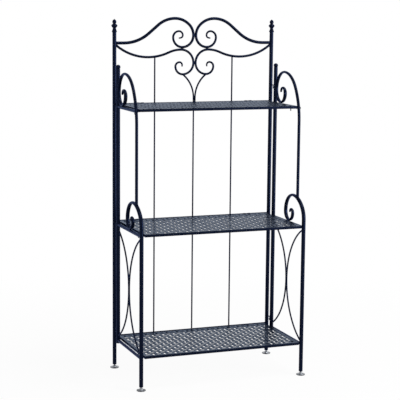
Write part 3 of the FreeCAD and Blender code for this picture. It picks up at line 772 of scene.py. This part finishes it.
@dataclass
class BackFrame(SubAssembly):
    """Crest scrolls and heart stems between the back posts, with the welds of the back frame.

    Shares of the scrolls refer to the reach from a post to the middle, the stem's to its drop, and
    tapers to a bar's full thickness.
    """

    crest_drop: float = 0.04302
    upper_lead_share: float = 0.119
    upper_sweep_share: float = 0.483
    upper_rise_share: float = 0.158
    upper_crown_share: float = 0.334
    upper_flank_share: float = 0.180
    upper_sweep_degrees: float = 40.0
    upper_shoulder_degrees: float = 45.0
    upper_curl_shares: tuple[float, ...] = (0.142, 0.118, 0.074, 0.049, 0.0315, 0.018)
    upper_curl_degrees: tuple[float, ...] = (90, 90, 90, 90, 80, 0)
    upper_tapers: tuple[float, ...] = (1.0, 1.0, 0.98, 0.96, 0.92, 0.88, 0.80, 0.72, 0.64, 0.58, 0.52, 0.46)
    lower_belly_share: float = 0.640
    lower_crest_share: float = 0.016
    lower_root_degrees: float = 41.5
    lower_rise_degrees: float = 23.9
    lower_curl_shares: tuple[float, ...] = (0.137, 0.094, 0.052, 0.034, 0.045)
    lower_curl_degrees: tuple[float, ...] = (90, 90, 90, 85, 20)
    lower_tapers: tuple[float, ...] = (0.98, 0.96, 0.93, 0.90, 0.86, 0.78, 0.66, 0.56)
    lower_thickness: float = 0.010
    stem_thickness: float = 0.0075
    stem_foot_share: float = 0.18
    stem_tapers: tuple[float, float] = (0.87, 0.80)
    rod_dab: Radii = (0.0034, 0.0026, 0.0012)
    touch_dab: Radii = (0.0060, 0.0024, 0.0012)
    stem_dab: Radii = (0.0062, 0.0034, 0.0016)

    def __post_init__(self) -> None:
        """Read the posts and the rails from the frame, and work out the lines of the bars."""
        self.body = "back_frame"
        self.post = middle_of("back_post_right")
        self.half = self.post[0]
        self.post_radius = span_of("back_post_right")[0] / 2
        self.crest_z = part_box("back_post_right")[1][2] - self.crest_drop
        self.rails = {level: middle_of(level.value + "_back_rail") for level in Level}
        self.rail_radius = span_of("top_back_rail")[2] / 2
        self.upper = self.upper_line()
        self.lower = self.lower_line()
        self.stem = self.stem_line()

    def plane(self, side: Side) -> Plane:
        """Plane of the back frame, with u counted from a post to the middle."""
        return Plane(side.value * self.half * ACROSS + self.post[1] * DEEP, -side.value * ACROSS, DEEP)

    def upper_line(self) -> Line:
        """Upper scroll: level, up in a double bend, over the shoulder and down into its curl.

        The shoulder's radius takes up what the other stretches leave of the reach. The method also
        keeps where the two scrolls touch, and where the loop of the curl hangs.

        Returns:
            The line, from the axis of the post.
        """
        thick = span_of("upper_scroll_right")[1]
        flank_taper, loop_taper = self.upper_tapers[5:7]
        reach = self.half - thick * flank_taper / 2 - WELD_GAP
        shares = (
            self.upper_lead_share, self.upper_sweep_share, self.upper_rise_share,
            self.upper_crown_share, self.upper_flank_share, *self.upper_curl_shares,
        )
        lead, sweep, rise, crown, flank, *curl = (share * reach for share in shares)
        turn, dip = self.upper_sweep_degrees, self.upper_shoulder_degrees
        angle, fall = math.radians(turn), math.radians(dip)
        left = reach - lead - (sweep + crown) * math.sin(angle) - rise * math.cos(angle)
        shoulder = (left - flank * (1 - math.sin(fall))) / math.sin(fall)
        runs = (lead, sweep, rise, crown, shoulder, flank, *curl)
        turns = (0, turn, 0, -turn, -dip, dip - 90, *(-bend for bend in self.upper_curl_degrees))
        crown_z = self.crest_z + (sweep + crown) * (1 - math.cos(angle)) + rise * math.sin(angle)
        self.touch_z = crown_z - shoulder * (1 - math.cos(fall)) - flank * math.cos(fall)
        self.loop_bottom = self.touch_z - curl[0]
        self.loop_u = reach - curl[0]
        self.loop_thickness = thick * loop_taper
        return bend_line(0, self.crest_z, 0, thick, round_moves(runs, turns, thick, self.upper_tapers))

    def lower_line(self) -> Line:
        """Lower scroll: a hanging belly, a low crown under the upper loop, and a curl down at the middle.

        The crown's radius takes up what the belly leaves of the way to the crest, and the fall's what
        is left of the reach. The method also keeps where the two scrolls touch, and where the heart
        stem leaves the curl.

        Returns:
            The line, from the axis of the post.
        """
        thick = self.lower_thickness
        crown_taper, fall_taper = self.lower_tapers[1:3]
        touch = thick * fall_taper / 2 + WELD_GAP
        reach = self.half - touch
        belly, *curl = (share * reach for share in (self.lower_belly_share, *self.lower_curl_shares))
        root, slope = math.radians(self.lower_root_degrees), math.radians(self.lower_rise_degrees)
        crest_u = self.loop_u - self.lower_crest_share * reach
        crown = (crest_u - belly * (math.sin(root) + math.sin(slope))) / math.sin(slope)
        fall = reach - crest_u
        bends = (self.lower_rise_degrees, 90, *self.lower_curl_degrees)
        turns = (self.lower_root_degrees + self.lower_rise_degrees, *(-bend for bend in bends))
        crown_z = self.loop_bottom - (self.loop_thickness + thick * crown_taper) / 2 - WELD_GAP
        climb = belly * (math.cos(root) - math.cos(slope)) + crown * (1 - math.cos(slope))
        self.lower_touch_z = crown_z - fall
        self.heart_z = self.lower_touch_z - curl[0]
        self.heart_x = touch + curl[0]
        moves = round_moves((belly, crown, fall, *curl), turns, thick, self.lower_tapers)
        return bend_line(0, crown_z - climb, -root, thick, moves)

    def stem_line(self) -> Line:
        """Heart stem: from under the lower loop, round to the middle, and down to the rail.

        An arc that goes inwards by i while it drops by d, and ends upright, turns by 2 atan(i / d).

        Returns:
            The line, with u counted from the axis of the post.
        """
        thick = self.stem_thickness
        drop = self.heart_z - self.rails[Level.TOP][2]
        foot = self.stem_foot_share * drop
        inward = self.heart_x - self.stem_tapers[0] * thick / 2 - WELD_GAP
        lean = 2 * math.atan(inward / (drop - foot))
        runs = ((drop - foot) / math.sin(lean), foot - self.rail_radius + SINK)
        moves = round_moves(runs, (-math.degrees(lean), 0), thick, self.stem_tapers)
        return bend_line(self.half - self.heart_x, self.heart_z, lean - math.pi / 2, thick, moves)

    def build(self) -> list[Piece]:
        """Build the scrolls and stems of both sides, and the welds.

        Returns:
            The pieces.
        """
        start = self.post_radius - SINK
        bars = (
            ("upper_scroll_", self.upper.after(start), True),
            ("lower_scroll_", self.lower.after(start), True),
            ("heart_stem_", self.stem, False),
        )
        pieces = []
        for side, (name, line, round_tip) in itertools.product(Side, bars):
            mesh = Mesh().add(*self.plane(side).tube(line, round_tip))
            pieces.append(self.stand_in(mesh, "smooth_", name + side.word))
        return [*pieces, self.weld()]

    def weld(self) -> Piece:
        """Weld the rails and scroll roots to the posts, and dab the places where bars touch.

        Returns:
            The welds, as one piece.
        """
        seam = WeldSeam()
        planes = {side: self.plane(side) for side in Side}
        for side, plane in planes.items():
            post, out = plane.spot(0.0, 0.0), side.value * ACROSS
            for rail in self.rails.values():
                seam.ring(rail, out, self.rail_radius, post, UP, self.post_radius)
            root = plane.spot(STAND_OFF * self.post_radius, self.crest_z)
            seam.ring(root, out, self.upper.thickness[0] / 2, post, UP, self.post_radius)
        for word, rail in itertools.product(("left", "centre", "right"), self.rails.values()):
            behind = np.array((middle_of("back_rod_" + word)[0], rail[1] + self.rail_radius, rail[2]))
            seam.dab(behind, ACROSS, UP, self.rod_dab)
        middle = self.post[1] * DEEP
        for z in (self.touch_z, self.lower_touch_z):
            seam.dab(middle + z * UP, UP, DEEP, self.touch_dab)
        rail_top = self.rails[Level.TOP][2] + self.rail_radius
        seam.dab(middle + rail_top * UP, ACROSS, DEEP, self.stem_dab)
        for plane in planes.values():
            under = plane.spot(self.loop_u, self.loop_bottom - self.loop_thickness / 2)
            seam.dab(under, ACROSS, DEEP, self.touch_dab)
        return self.lay(seam.mesh, self.body + "_welds")


@dataclass(frozen=True)
class ArchShape:
    """Shape of an arch of a side frame, from its post over the crown into a scroll.

    Attributes:
        loop: Radius under the scroll.
        shares: Radii of the front and the crown, as shares of the arch's width.
        lean: Turn of the front.
        curls: Radii of the curl, as shares of the loop.
        tapers: Thickness in the plane at the end of each stretch, as a share of the post's.
        widths: Width across the plane at the end of each stretch, as a share of the post's.
        curl_degrees: Turns of the curl.
    """

    loop: float
    shares: tuple[float, float]
    lean: float
    curls: tuple[float, ...]
    tapers: tuple[float, ...]
    widths: tuple[float, ...]
    curl_degrees: tuple[float, ...] = (90, 90, 85)

    @property
    def back_taper(self) -> float:
        """Thickness at the back of the arch, as a share."""
        return self.tapers[3]

    @property
    def loop_taper(self) -> float:
        """Thickness under the scroll, as a share."""
        return self.tapers[4]

    def line(self, start: tuple[float, float], width: float, stand_z: float, thick: float) -> Line:
        """Go up a post, over the crown and down into a scroll that stands on a crossbar.

        The fall's radius takes up what the front and the crown leave of the width, and the post what
        all the arcs leave of the height.

        Args:
            start: Foot of the post along the plane and in height.
            width: From the post to the back of the arch.
            stand_z: Height that the scroll stands on.
            thick: Diameter of the post.

        Returns:
            The line of the arch.
        """
        angle = math.radians(self.lean)
        front, crown = (share * width for share in self.shares)
        fall = width - front * (1 - math.cos(angle)) - crown * math.cos(angle)
        loop_z = stand_z + self.loop_taper * thick / 2 + WELD_GAP
        crown_z = loop_z + self.loop + fall
        bend_z = crown_z - front * math.sin(angle) - crown * (1 - math.sin(angle))
        curl = (share * self.loop for share in self.curls)
        runs = (bend_z - start[1], front, crown, fall, self.loop, *curl)
        turns = (0, -self.lean, self.lean - 90, -90, -90, *(-turn for turn in self.curl_degrees))
        moves = list(zip(runs, turns, np.multiply(self.tapers, thick), np.multiply(self.widths, thick)))
        return bend_line(*start, math.pi / 2, thick, moves)


@dataclass
class SideFrame(SubAssembly):
    """Leg, upper post, arches and welds of one side frame."""

    side: Side
    upper_shape: ArchShape = ArchShape(
        loop=0.047, shares=(1.037, 0.568), lean=35.0, curls=(0.82, 0.47, 0.40),
        tapers=(1.0, 0.95, 0.82, 0.72, 0.66, 0.66, 0.66, 0.50),
        widths=(1.0, 1.04, 1.10, 1.20, 1.28, 1.28, 1.0, 0.70),
    )
    lower_shape: ArchShape = ArchShape(
        loop=0.035, shares=(0.431, 0.649), lean=45.0, curls=(0.95, 0.40, 0.36),
        tapers=(1.0, 0.92, 0.68, 0.54, 0.50, 0.52, 0.52, 0.38),
        widths=(1.0, 1.0, 1.0, 1.0, 1.0, 0.86, 0.66, 0.46),
    )
    upper_thickness: float = 0.012
    lower_width: float = 0.174
    wall: float = 0.0012
    bore_depth: float = 0.045
    rear_bow_gap: float = 0.021
    front_bow_gap: float = 0.010
    scroll_dab: Radii = (0.0070, 0.0030, 0.0013)
    post_dab: Radii = (0.0070, 0.0026, 0.0013)

    def __post_init__(self) -> None:
        """Read the posts, legs and crossbars of this side from the frame, and work out the arches."""
        word = self.side.word
        self.body = word + "_side"
        self.rear = middle_of("rear_post_" + word)
        self.rear_radius = span_of("rear_post_" + word)[1] / 2
        leg_low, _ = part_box("lower_arch_" + word)
        self.leg_thickness = span_of("lower_arch_" + word)[0]
        self.leg_y = leg_low[1] + self.leg_thickness / 2
        self.leg_z = leg_low[2]
        self.arch_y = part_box("upper_arch_" + word)[0][1] + self.upper_thickness / 2
        self.bars = {level: middle_of(level.value + "_crossbar_" + word) for level in Level}
        self.bar_radius = span_of("top_crossbar_" + word)[2] / 2
        self.bar_tops = {level: bar[2] + self.bar_radius for level, bar in self.bars.items()}
        self.plane = Plane(self.rear[0] * ACROSS, DEEP, ACROSS)
        self.lower = self.lower_line()
        self.upper = self.upper_line()

    def lower_line(self) -> Line:
        """Front leg and lower arch, from the leg's lower end."""
        start, stand_z = (self.leg_y, self.leg_z), self.bar_tops[Level.MIDDLE]
        return self.lower_shape.line(start, self.lower_width, stand_z, self.leg_thickness)

    def upper_line(self) -> Line:
        """Upper post and arch, from the crown of the lower arch.

        The method also keeps how the lower arch runs where the post lands on it.

        Returns:
            The line of the arch.
        """
        crown = self.lower.after(self.arch_y)
        self.landing = float(crown.z[0])
        self.landing_heading = float(crown.heading[0])
        self.landing_radius = float(crown.thickness[0] + crown.width[0]) / 4
        gap = self.rear_radius + WELD_GAP + self.upper_shape.back_taper * self.upper_thickness / 2
        width = self.rear[1] - gap - self.arch_y
        start = self.arch_y, self.landing
        return self.upper_shape.line(start, width, self.bar_tops[Level.TOP], self.upper_thickness)

    def build(self) -> list[Piece]:
        """Build the two arches and the welds of this side; the leg is bored for the stud of its foot.

        Returns:
            The pieces.
        """
        bore = self.leg_thickness - 2 * self.wall
        bored = self.lower.with_root((self.leg_z + self.bore_depth, self.leg_z), (bore, bore))
        pieces = []
        for name, line in (("lower_arch_", bored), ("upper_arch_", self.upper)):
            mesh = Mesh().add(*self.plane.tube(line))
            pieces.append(self.stand_in(mesh, "smooth_", name + self.side.word))
        return [*pieces, self.weld()]

    def weld(self) -> Piece:
        """Weld crossbars, bows and the upper post, and dab the scrolls to what they stand on.

        Returns:
            The welds, as one piece.
        """
        seam = WeldSeam()
        spot = self.plane.spot
        leg = spot(self.leg_y, 0.0), self.leg_thickness / 2
        post = spot(self.arch_y, 0.0), self.upper_thickness / 2
        for bar, (host, radius) in zip(self.bars.values(), (leg, leg, post)):
            seam.ring(bar, DEEP, self.bar_radius, self.rear, UP, self.rear_radius)
            seam.ring(bar, -DEEP, self.bar_radius, host, UP, radius)
        crown_way = math.cos(self.landing_heading) * DEEP + math.sin(self.landing_heading) * UP
        crown = spot(self.arch_y, self.landing)
        above = crown + STAND_OFF * self.landing_radius * UP
        seam.ring(above, -UP, self.upper_thickness / 2, crown, crown_way, self.landing_radius)
        for line, level in ((self.lower, Level.MIDDLE), (self.upper, Level.TOP)):
            foot = int(np.argmin(np.where(line.heading < -math.pi / 2, line.z, np.inf)))
            seam.dab(spot(line.u[foot], self.bar_tops[level]), DEEP, ACROSS, self.scroll_dab)
        back = spot(self.rear[1] - self.rear_radius, self.upper.z[np.argmax(self.upper.u)])
        seam.dab(back, UP, ACROSS, self.post_dab)
        self.weld_bows(seam)
        return self.lay(seam.mesh, self.body + "_welds")

    def weld_bows(self, seam: WeldSeam) -> None:
        """Weld the ends of the bows to their posts.

        A bow that rises by h to either side and is d deep is an arc of radius r = (h h + d d) / 2 d,
        and the tangent at its end is (h, r - d) / r towards the post and away from the middle.

        Args:
            seam: The welds of this side.
        """
        low, high = self.bars[Level.BOTTOM][2], self.bars[Level.MIDDLE][2]
        bows = (
            ("rear_bow_", 1, self.rear[1], self.rear_bow_gap),
            ("front_bow_", -1, self.leg_y, self.front_bow_gap),
        )
        for name, way, post_y, gap in bows:
            node = name + self.side.word
            radius = span_of(node)[0] / 2
            apex = middle_of(node)[1] - way * (span_of(node)[1] / 2 - radius)
            half, depth = (high - low) / 2 - gap, abs(post_y - apex) - self.rear_radius
            bend = (half ** 2 + depth ** 2) / (2 * depth)
            post = self.plane.spot(post_y, 0.0)
            for lift in (-1, 1):
                tangent = np.array((0.0, way * half, lift * (bend - depth))) / bend
                end = self.plane.spot(apex + way * depth, (low + high) / 2 + lift * half)
                seam.ring(end - STAND_OFF * radius * tangent, tangent, radius, post, UP, self.rear_radius)


@dataclass
class Shelf(SubAssembly):
    """Angle frame and punched sheet of one shelf; the slots' shares refer to the pitch."""

    level: Level
    angle_leg: float = 0.010
    angle_thickness: float = 0.002
    edge_round: float = 0.0009
    round_points: int = 4
    pitch: float = 0.023
    slot_length_share: float = 0.78
    slot_width_share: float = 0.335
    margin: float = 0.009
    draw_in: float = 0.0003
    draw_width: float = 0.0008
    weave_height: float = 0.0010
    cell_steps: int = 4
    rim_points: int = 16

    def __post_init__(self) -> None:
        """Read the shelf's corners from the frame, and share its sheet out in cells of about one pitch."""
        self.body = self.level.value + "_shelf"
        self.frame_low, self.frame_high = (np.array(corner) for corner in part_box(self.body + "_frame"))
        self.sheet_low, self.sheet_high = (np.array(corner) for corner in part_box(self.body + "_sheet"))
        self.field_low = self.sheet_low[:2] + self.margin
        self.field_size = self.sheet_high[:2] - self.margin - self.field_low
        self.counts = np.rint(self.field_size / self.pitch).astype(int)
        columns, rows = np.meshgrid(*(np.arange(count) for count in self.counts))
        self.cells = np.stack((columns.ravel(), rows.ravel()), axis=-1)

    def angle_profile(self) -> Array:
        """Section of the angle: six arcs of one radius, on its edges and in its hollow, joined up straight.

        Returns:
            Points (inward, up) from the outer lower corner.
        """
        r, t, leg = self.edge_round, self.angle_thickness, self.angle_leg
        rounds = (
            ((t - r, r), -90, 90), ((t + r, leg - t - r), 180, -90), ((leg - r, leg - t + r), -90, 90),
            ((leg - r, leg - r), 0, 90), ((r, leg - r), 90, 90), ((r, r), 180, 90),
        )
        return np.concatenate([arc(spot, r, *sweep, self.round_points) for spot, *sweep in rounds])

    def build_frame(self) -> Piece:
        """Carry the angle's section round the shelf: at a corner each point goes inwards along both sides.

        Returns:
            The frame.
        """
        profile = self.angle_profile()
        centre = (self.frame_low + self.frame_high) / 2
        half = (self.frame_high - self.frame_low) / 2
        x = centre[0] + CORNERS[:, :1] * (half[0] - profile[:, 0])
        y = centre[1] + CORNERS[:, 1:] * (half[1] - profile[:, 0])
        z = np.broadcast_to(self.frame_low[2] + profile[:, 1], x.shape)
        mesh = Mesh().add(np.stack((x, y, z), axis=-1), tube_rings(*x.shape, closed=True))
        return self.stand_in(mesh, "welded_", self.body + "_frame")

    def slot_outline(self, spread: float) -> Array:
        """Outline of a level slot about its middle: half rounds of one radius, pushed apart along X.

        Args:
            spread: How much wider than the slot the outline is, all round.

        Returns:
            Points of the outline, anticlockwise.
        """
        radius = self.slot_width_share * self.pitch / 2 + spread
        shift = (self.slot_length_share - self.slot_width_share) * self.pitch / 2
        angle = full_turn(self.rim_points) + math.pi / self.rim_points
        along = radius * np.cos(angle) + shift * np.sign(np.cos(angle))
        return np.stack((along, radius * np.sin(angle)), axis=-1)

    def cell_rims(self, spread: float) -> Array:
        """Slot outlines of all cells: level and upright by turns, as in a basketweave.

        Args:
            spread: How much wider than the slots the outlines are, all round.

        Returns:
            Points (X, Y), outline after outline.
        """
        level = self.slot_outline(spread)
        upright = np.roll(np.stack((-level[:, 1], level[:, 0]), axis=-1), self.rim_points // 4, axis=0)
        middles = self.field_low + (self.cells + 0.5) * self.field_size / self.counts
        odd = self.cells.sum(axis=1) % 2 == 1
        return (middles[:, None] + np.where(odd[:, None, None], upright, level)).reshape(-1, 2)

    def cell_borders(self, columns: int) -> Array:
        """Lattice points round each cell, anticlockwise from the middle of its right side.

        A point's step along X falls and rises evenly with its way round, and is cut off at the
        cell's sides. Its step along Y does the same a quarter of the way later.

        Args:
            columns: How many points the lattice has along X.

        Returns:
            Numbers of the points, one row for each cell.
        """
        steps, points = self.cell_steps, self.rim_points
        away = np.abs((np.arange(points) + points // 2) % points - points // 2)
        along = np.clip(steps + steps // 2 - away, 0, steps)
        deep = np.roll(along, points // 4)
        column, row = (self.cells * steps).T[..., None]
        return (row + deep) * columns + column + along

    def lattice_lines(self, axis: int) -> Array:
        """Lines of the cell lattice along one axis; the outer ones lie on the sheet's edges.

        Args:
            axis: 0 for the lines' X, 1 for their Y.

        Returns:
            Places of the lines.
        """
        low = self.field_low[axis]
        lines = np.linspace(low, low + self.field_size[axis], self.cell_steps * self.counts[axis] + 1)
        lines[[0, -1]] = self.sheet_low[axis], self.sheet_high[axis]
        return lines

    def weave(self, points: Array) -> Array:
        """Height of the pressed weave: a sine of half a wave a cell along X, times the same along Y.

        So level cells stand up, upright ones lie low, and the lattice lines and the margin stay flat.

        Args:
            points: Points (X, Y) on the sheet.

        Returns:
            The height over the flat sheet at each point.
        """
        along = np.clip((points - self.field_low) / self.field_size, 0, 1) * self.counts
        return self.weave_height * np.prod(np.sin(math.pi * along), axis=-1)

    def build_sheet(self) -> Piece:
        """Punch a basketweave of level and upright slots.

        Each cell has rings of points: the lattice points round it, the slot's outline a little wider,
        and the outline drawn in at the top and at the bottom. Quads join ring to ring, from the top
        face through the slot to the bottom face, and the two faces along the sheet's edge.

        Returns:
            The sheet.
        """
        x, y = self.lattice_lines(0), self.lattice_lines(1)
        lattice = np.stack([part.ravel() for part in np.meshgrid(x, y)], axis=-1)
        top, bottom = self.sheet_high[2], self.sheet_low[2]
        rims = ((self.draw_width, top), (0.0, top - self.draw_in), (0.0, bottom - self.draw_in))
        layers = [(lattice, top), (lattice, bottom), *((self.cell_rims(spread), z) for spread, z in rims)]
        cloud = np.concatenate([np.column_stack((layer, z + self.weave(layer))) for layer, z in layers])
        border, size = self.cell_borders(len(x)), len(lattice)
        slots = 2 * size + np.arange(len(rims) * border.size).reshape(len(rims), *border.shape)
        rings = (border, *slots, border + size)
        grid = np.arange(size).reshape(len(y), len(x))
        edge = np.concatenate((grid[0, :-1], grid[:-1, -1], grid[-1, :0:-1], grid[:0:-1, 0]))
        quads = [ring_quads(*pair) for pair in zip(rings, rings[1:])]
        quads.append(ring_quads(edge, edge + size))
        used, faces = np.unique(np.concatenate(quads), return_inverse=True)
        mesh = Mesh().add(cloud[used], faces.reshape(-1, 4))
        return self.stand_in(mesh, "punched_", self.body + "_sheet", Slot.SHEET)

    def build(self) -> list[Piece]:
        """Build the frame and the sheet."""
        return [self.build_frame(), self.build_sheet()]


@dataclass
class LevellingFoot(SubAssembly):
    """Plated foot of one post: a bevelled disc, a hub and a threaded stud."""

    node: str
    rim: float = 0.004
    bevel: float = 0.0015
    edge_round: float = 0.0007
    round_points: int = 5
    underside_share: float = 0.1
    hub_radius: float = 0.007
    hub_top: float = 0.009
    stud_radius: float = 0.004
    thread_pitch: float = 0.00125
    thread_depth: float = 0.00035
    rings_per_turn: int = 8
    sides: int = 36

    def __post_init__(self) -> None:
        """Read the foot's place and size from the frame."""
        self.body = self.node
        self.low, self.high = (np.array(corner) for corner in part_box(self.node))
        self.radius = (self.high[0] - self.low[0]) / 2

    def section(self) -> Array:
        """Turned section below the thread: a flat, a bevel, and three rounds up to the top of the hub.

        Returns:
            Points (radius, height).
        """
        r, hub, wide = self.edge_round, self.hub_radius, self.radius
        under = np.array(((self.underside_share * wide, 0), (wide - self.bevel, 0), (wide, self.bevel)))
        rounds = (
            ((wide - r, self.rim - r), 0, 90), ((hub + r, self.rim + r), -90, -90),
            ((hub - r, self.hub_top - r), 0, 90),
        )
        return np.concatenate([under, *(arc(spot, r, *sweep, self.round_points) for spot, *sweep in rounds)])

    def build(self) -> list[Piece]:
        """Turn the section and the thread above it.

        The thread's radius falls short of the stud's by half its depth times one minus
        cos(2 pi z / pitch - angle), and it fades to its root at the top.

        Returns:
            The foot, alone in a list.
        """
        section = self.section()
        top = self.high[2] - self.low[2]
        count = round((top - self.hub_top) / self.thread_pitch * self.rings_per_turn)
        height = np.linspace(self.hub_top, top, count)
        angle = full_turn(self.sides)
        wave = np.cos(2 * math.pi * height[:, None] / self.thread_pitch - angle[None])
        fade = np.clip((top - height) / self.thread_pitch, 0, 1)[:, None]
        stud = self.stud_radius - self.thread_depth * (1 - fade * (1 + wave) / 2)
        radius = np.concatenate((np.repeat(section[:, :1], self.sides, axis=1), stud))
        z = np.repeat(np.concatenate((section[:, 1], height))[:, None], self.sides, axis=1)
        middle = (self.low + self.high) / 2
        x, y = middle[0] + radius * np.cos(angle), middle[1] + radius * np.sin(angle)
        mesh = Mesh().add(np.stack((x, y, self.low[2] + z), axis=-1), *tube_faces(len(z), self.sides))
        return [self.stand_in(mesh, "threaded_", self.node, Slot.FEET)]


@dataclass(frozen=True)
class Lamp:
    """A soft box that looks at the rack, with its width, height and power in watts."""

    name: str
    place: tuple[float, float, float]
    width: float
    height: float
    power: float


@dataclass
class Studio:
    """White floor and surroundings, soft boxes and the camera of the photograph."""

    target: tuple[float, float, float] = (0.0, 0.038, 0.714)
    azimuth: float = -21.10
    elevation: float = 8.51
    roll: float = 0.551
    distance: float = 5.3475
    lens_mm: float = 119.35
    shift: tuple[float, float] = (-0.0130, -0.0078)
    floor_reach: float = 40.0
    floor_paint: Colour = (0.93, 0.93, 0.93, 1)
    glow: float = 0.95
    shadow_reach: tuple[float, float] = (0.6, 2.0)
    ambient: float = 0.25
    lamps: tuple[Lamp, ...] = (
        Lamp("key_box", (2.7, -2.7, 1.1), 1.4, 2.2, 150.0),
        Lamp("fill_box", (-3.2, -1.0, 1.1), 0.8, 2.0, 10.0),
        Lamp("top_box", (1.0, -0.9, 3.6), 1.6, 1.2, 45.0),
    )

    @staticmethod
    def seen(board: NodeBoard) -> Signal:
        """Tell the rays that show the surroundings, straight, mirrored or through glass.

        Args:
            board: Board of the floor's or the world's nodes.

        Returns:
            One for such rays, zero for the rest.
        """
        path = board.make("ShaderNodeLightPath")
        names = ("Is Camera Ray", "Is Glossy Ray", "Is Transmission Ray")
        camera, glossy, glass = (Signal(board, path.outputs[name]) for name in names)
        return camera.at_least(glossy).at_least(glass)

    def light_world(self) -> None:
        """White where it is seen, and a level grey where it lights the rack."""
        world = bpy.data.worlds.new("white_surroundings")
        world.use_nodes = True
        bpy.context.scene.world = world
        board = NodeBoard(world.node_tree)
        dim, white = (
            board.make("ShaderNodeBackground", {}, {"Strength": strength, "Color": WHITE})
            for strength in (self.ambient, 1.0)
        )
        board.finish(board.blend(self.seen(board), dim, white), "ShaderNodeOutputWorld")

    def lay_floor(self) -> None:
        """White floor that glows where it is seen, a little less near the rack, which shades it faintly."""
        mesh = bpy.data.meshes.new("pale_floor")
        corners = np.column_stack((self.floor_reach * CORNERS, np.zeros(len(CORNERS))))
        mesh.from_pydata(corners, [], [range(len(CORNERS))])
        floor = bpy.data.objects.new("pale_floor", mesh)
        bpy.context.scene.collection.objects.link(floor)
        material, board = new_board("floor_white")
        matt = board.make("ShaderNodeBsdfDiffuse", {}, {"Color": self.floor_paint})
        bright = board.make("ShaderNodeEmission", {}, {"Strength": 1.0, "Color": WHITE})
        away = board.signal("ShaderNodeVectorMath", "Value", {"operation": "LENGTH"}, {0: board.place()})
        share = board.ramp(away, self.shadow_reach, self.glow)
        board.finish(board.blend(self.seen(board) * share, matt, bright))
        mesh.materials.append(material)

    def hang_lamps(self) -> None:
        """Hang the soft boxes and point them at the middle of the rack."""
        for lamp in self.lamps:
            data = bpy.data.lights.new(lamp.name, "AREA")
            data.energy = lamp.power
            data.shape = "RECTANGLE"
            data.size, data.size_y = lamp.width, lamp.height
            made = bpy.data.objects.new(lamp.name, data)
            made.location = lamp.place
            way = Vector(self.target) - Vector(lamp.place)
            made.rotation_euler = way.to_track_quat("-Z", "Y").to_euler()
            bpy.context.scene.collection.objects.link(made)

    def set_camera(self) -> None:
        """Stand the camera where the photograph was taken, with its small roll."""
        turn, tilt = math.radians(self.azimuth), math.radians(self.elevation)
        back = Vector((math.sin(turn) * math.cos(tilt), -math.cos(turn) * math.cos(tilt), math.sin(tilt)))
        data = bpy.data.cameras.new("photo_camera")
        data.lens = self.lens_mm
        data.shift_x, data.shift_y = self.shift
        camera = bpy.data.objects.new("photo_camera", data)
        level = (-back).to_track_quat("-Z", "Y").to_matrix().to_4x4()
        lean = Matrix.Rotation(math.radians(self.roll), 4, "Z")
        camera.matrix_world = Matrix.Translation(Vector(self.target) + self.distance * back) @ level @ lean
        bpy.context.scene.collection.objects.link(camera)
        bpy.context.scene.camera = camera

    def build(self) -> None:
        """Set up the studio."""
        bpy.context.scene.view_settings.view_transform = "Standard"
        self.light_world()
        self.lay_floor()
        self.hang_lamps()
        self.set_camera()


def main() -> None:
    """Build the studio and the rack's sub-assemblies, one after the other, and report each piece."""
    logging.basicConfig(level=logging.INFO, format="%(name)s: %(message)s")
    palette = Palette()
    palette.mix_all()
    palette.dress_nodes()
    Studio().build()
    assemblies: list[SubAssembly] = [BackFrame(palette)]
    assemblies += [SideFrame(palette, side) for side in Side]
    assemblies += [Shelf(palette, level) for level in Level]
    assemblies += [LevellingFoot(palette, body) for body in frame["bodies"] if body.endswith("_foot")]
    for assembly in assemblies:
        for piece in assembly.build():
            log.info("%s: %d faces on %s", piece.name, len(piece.data.polygons), assembly.body)


if __name__ == "__main__":
    main()
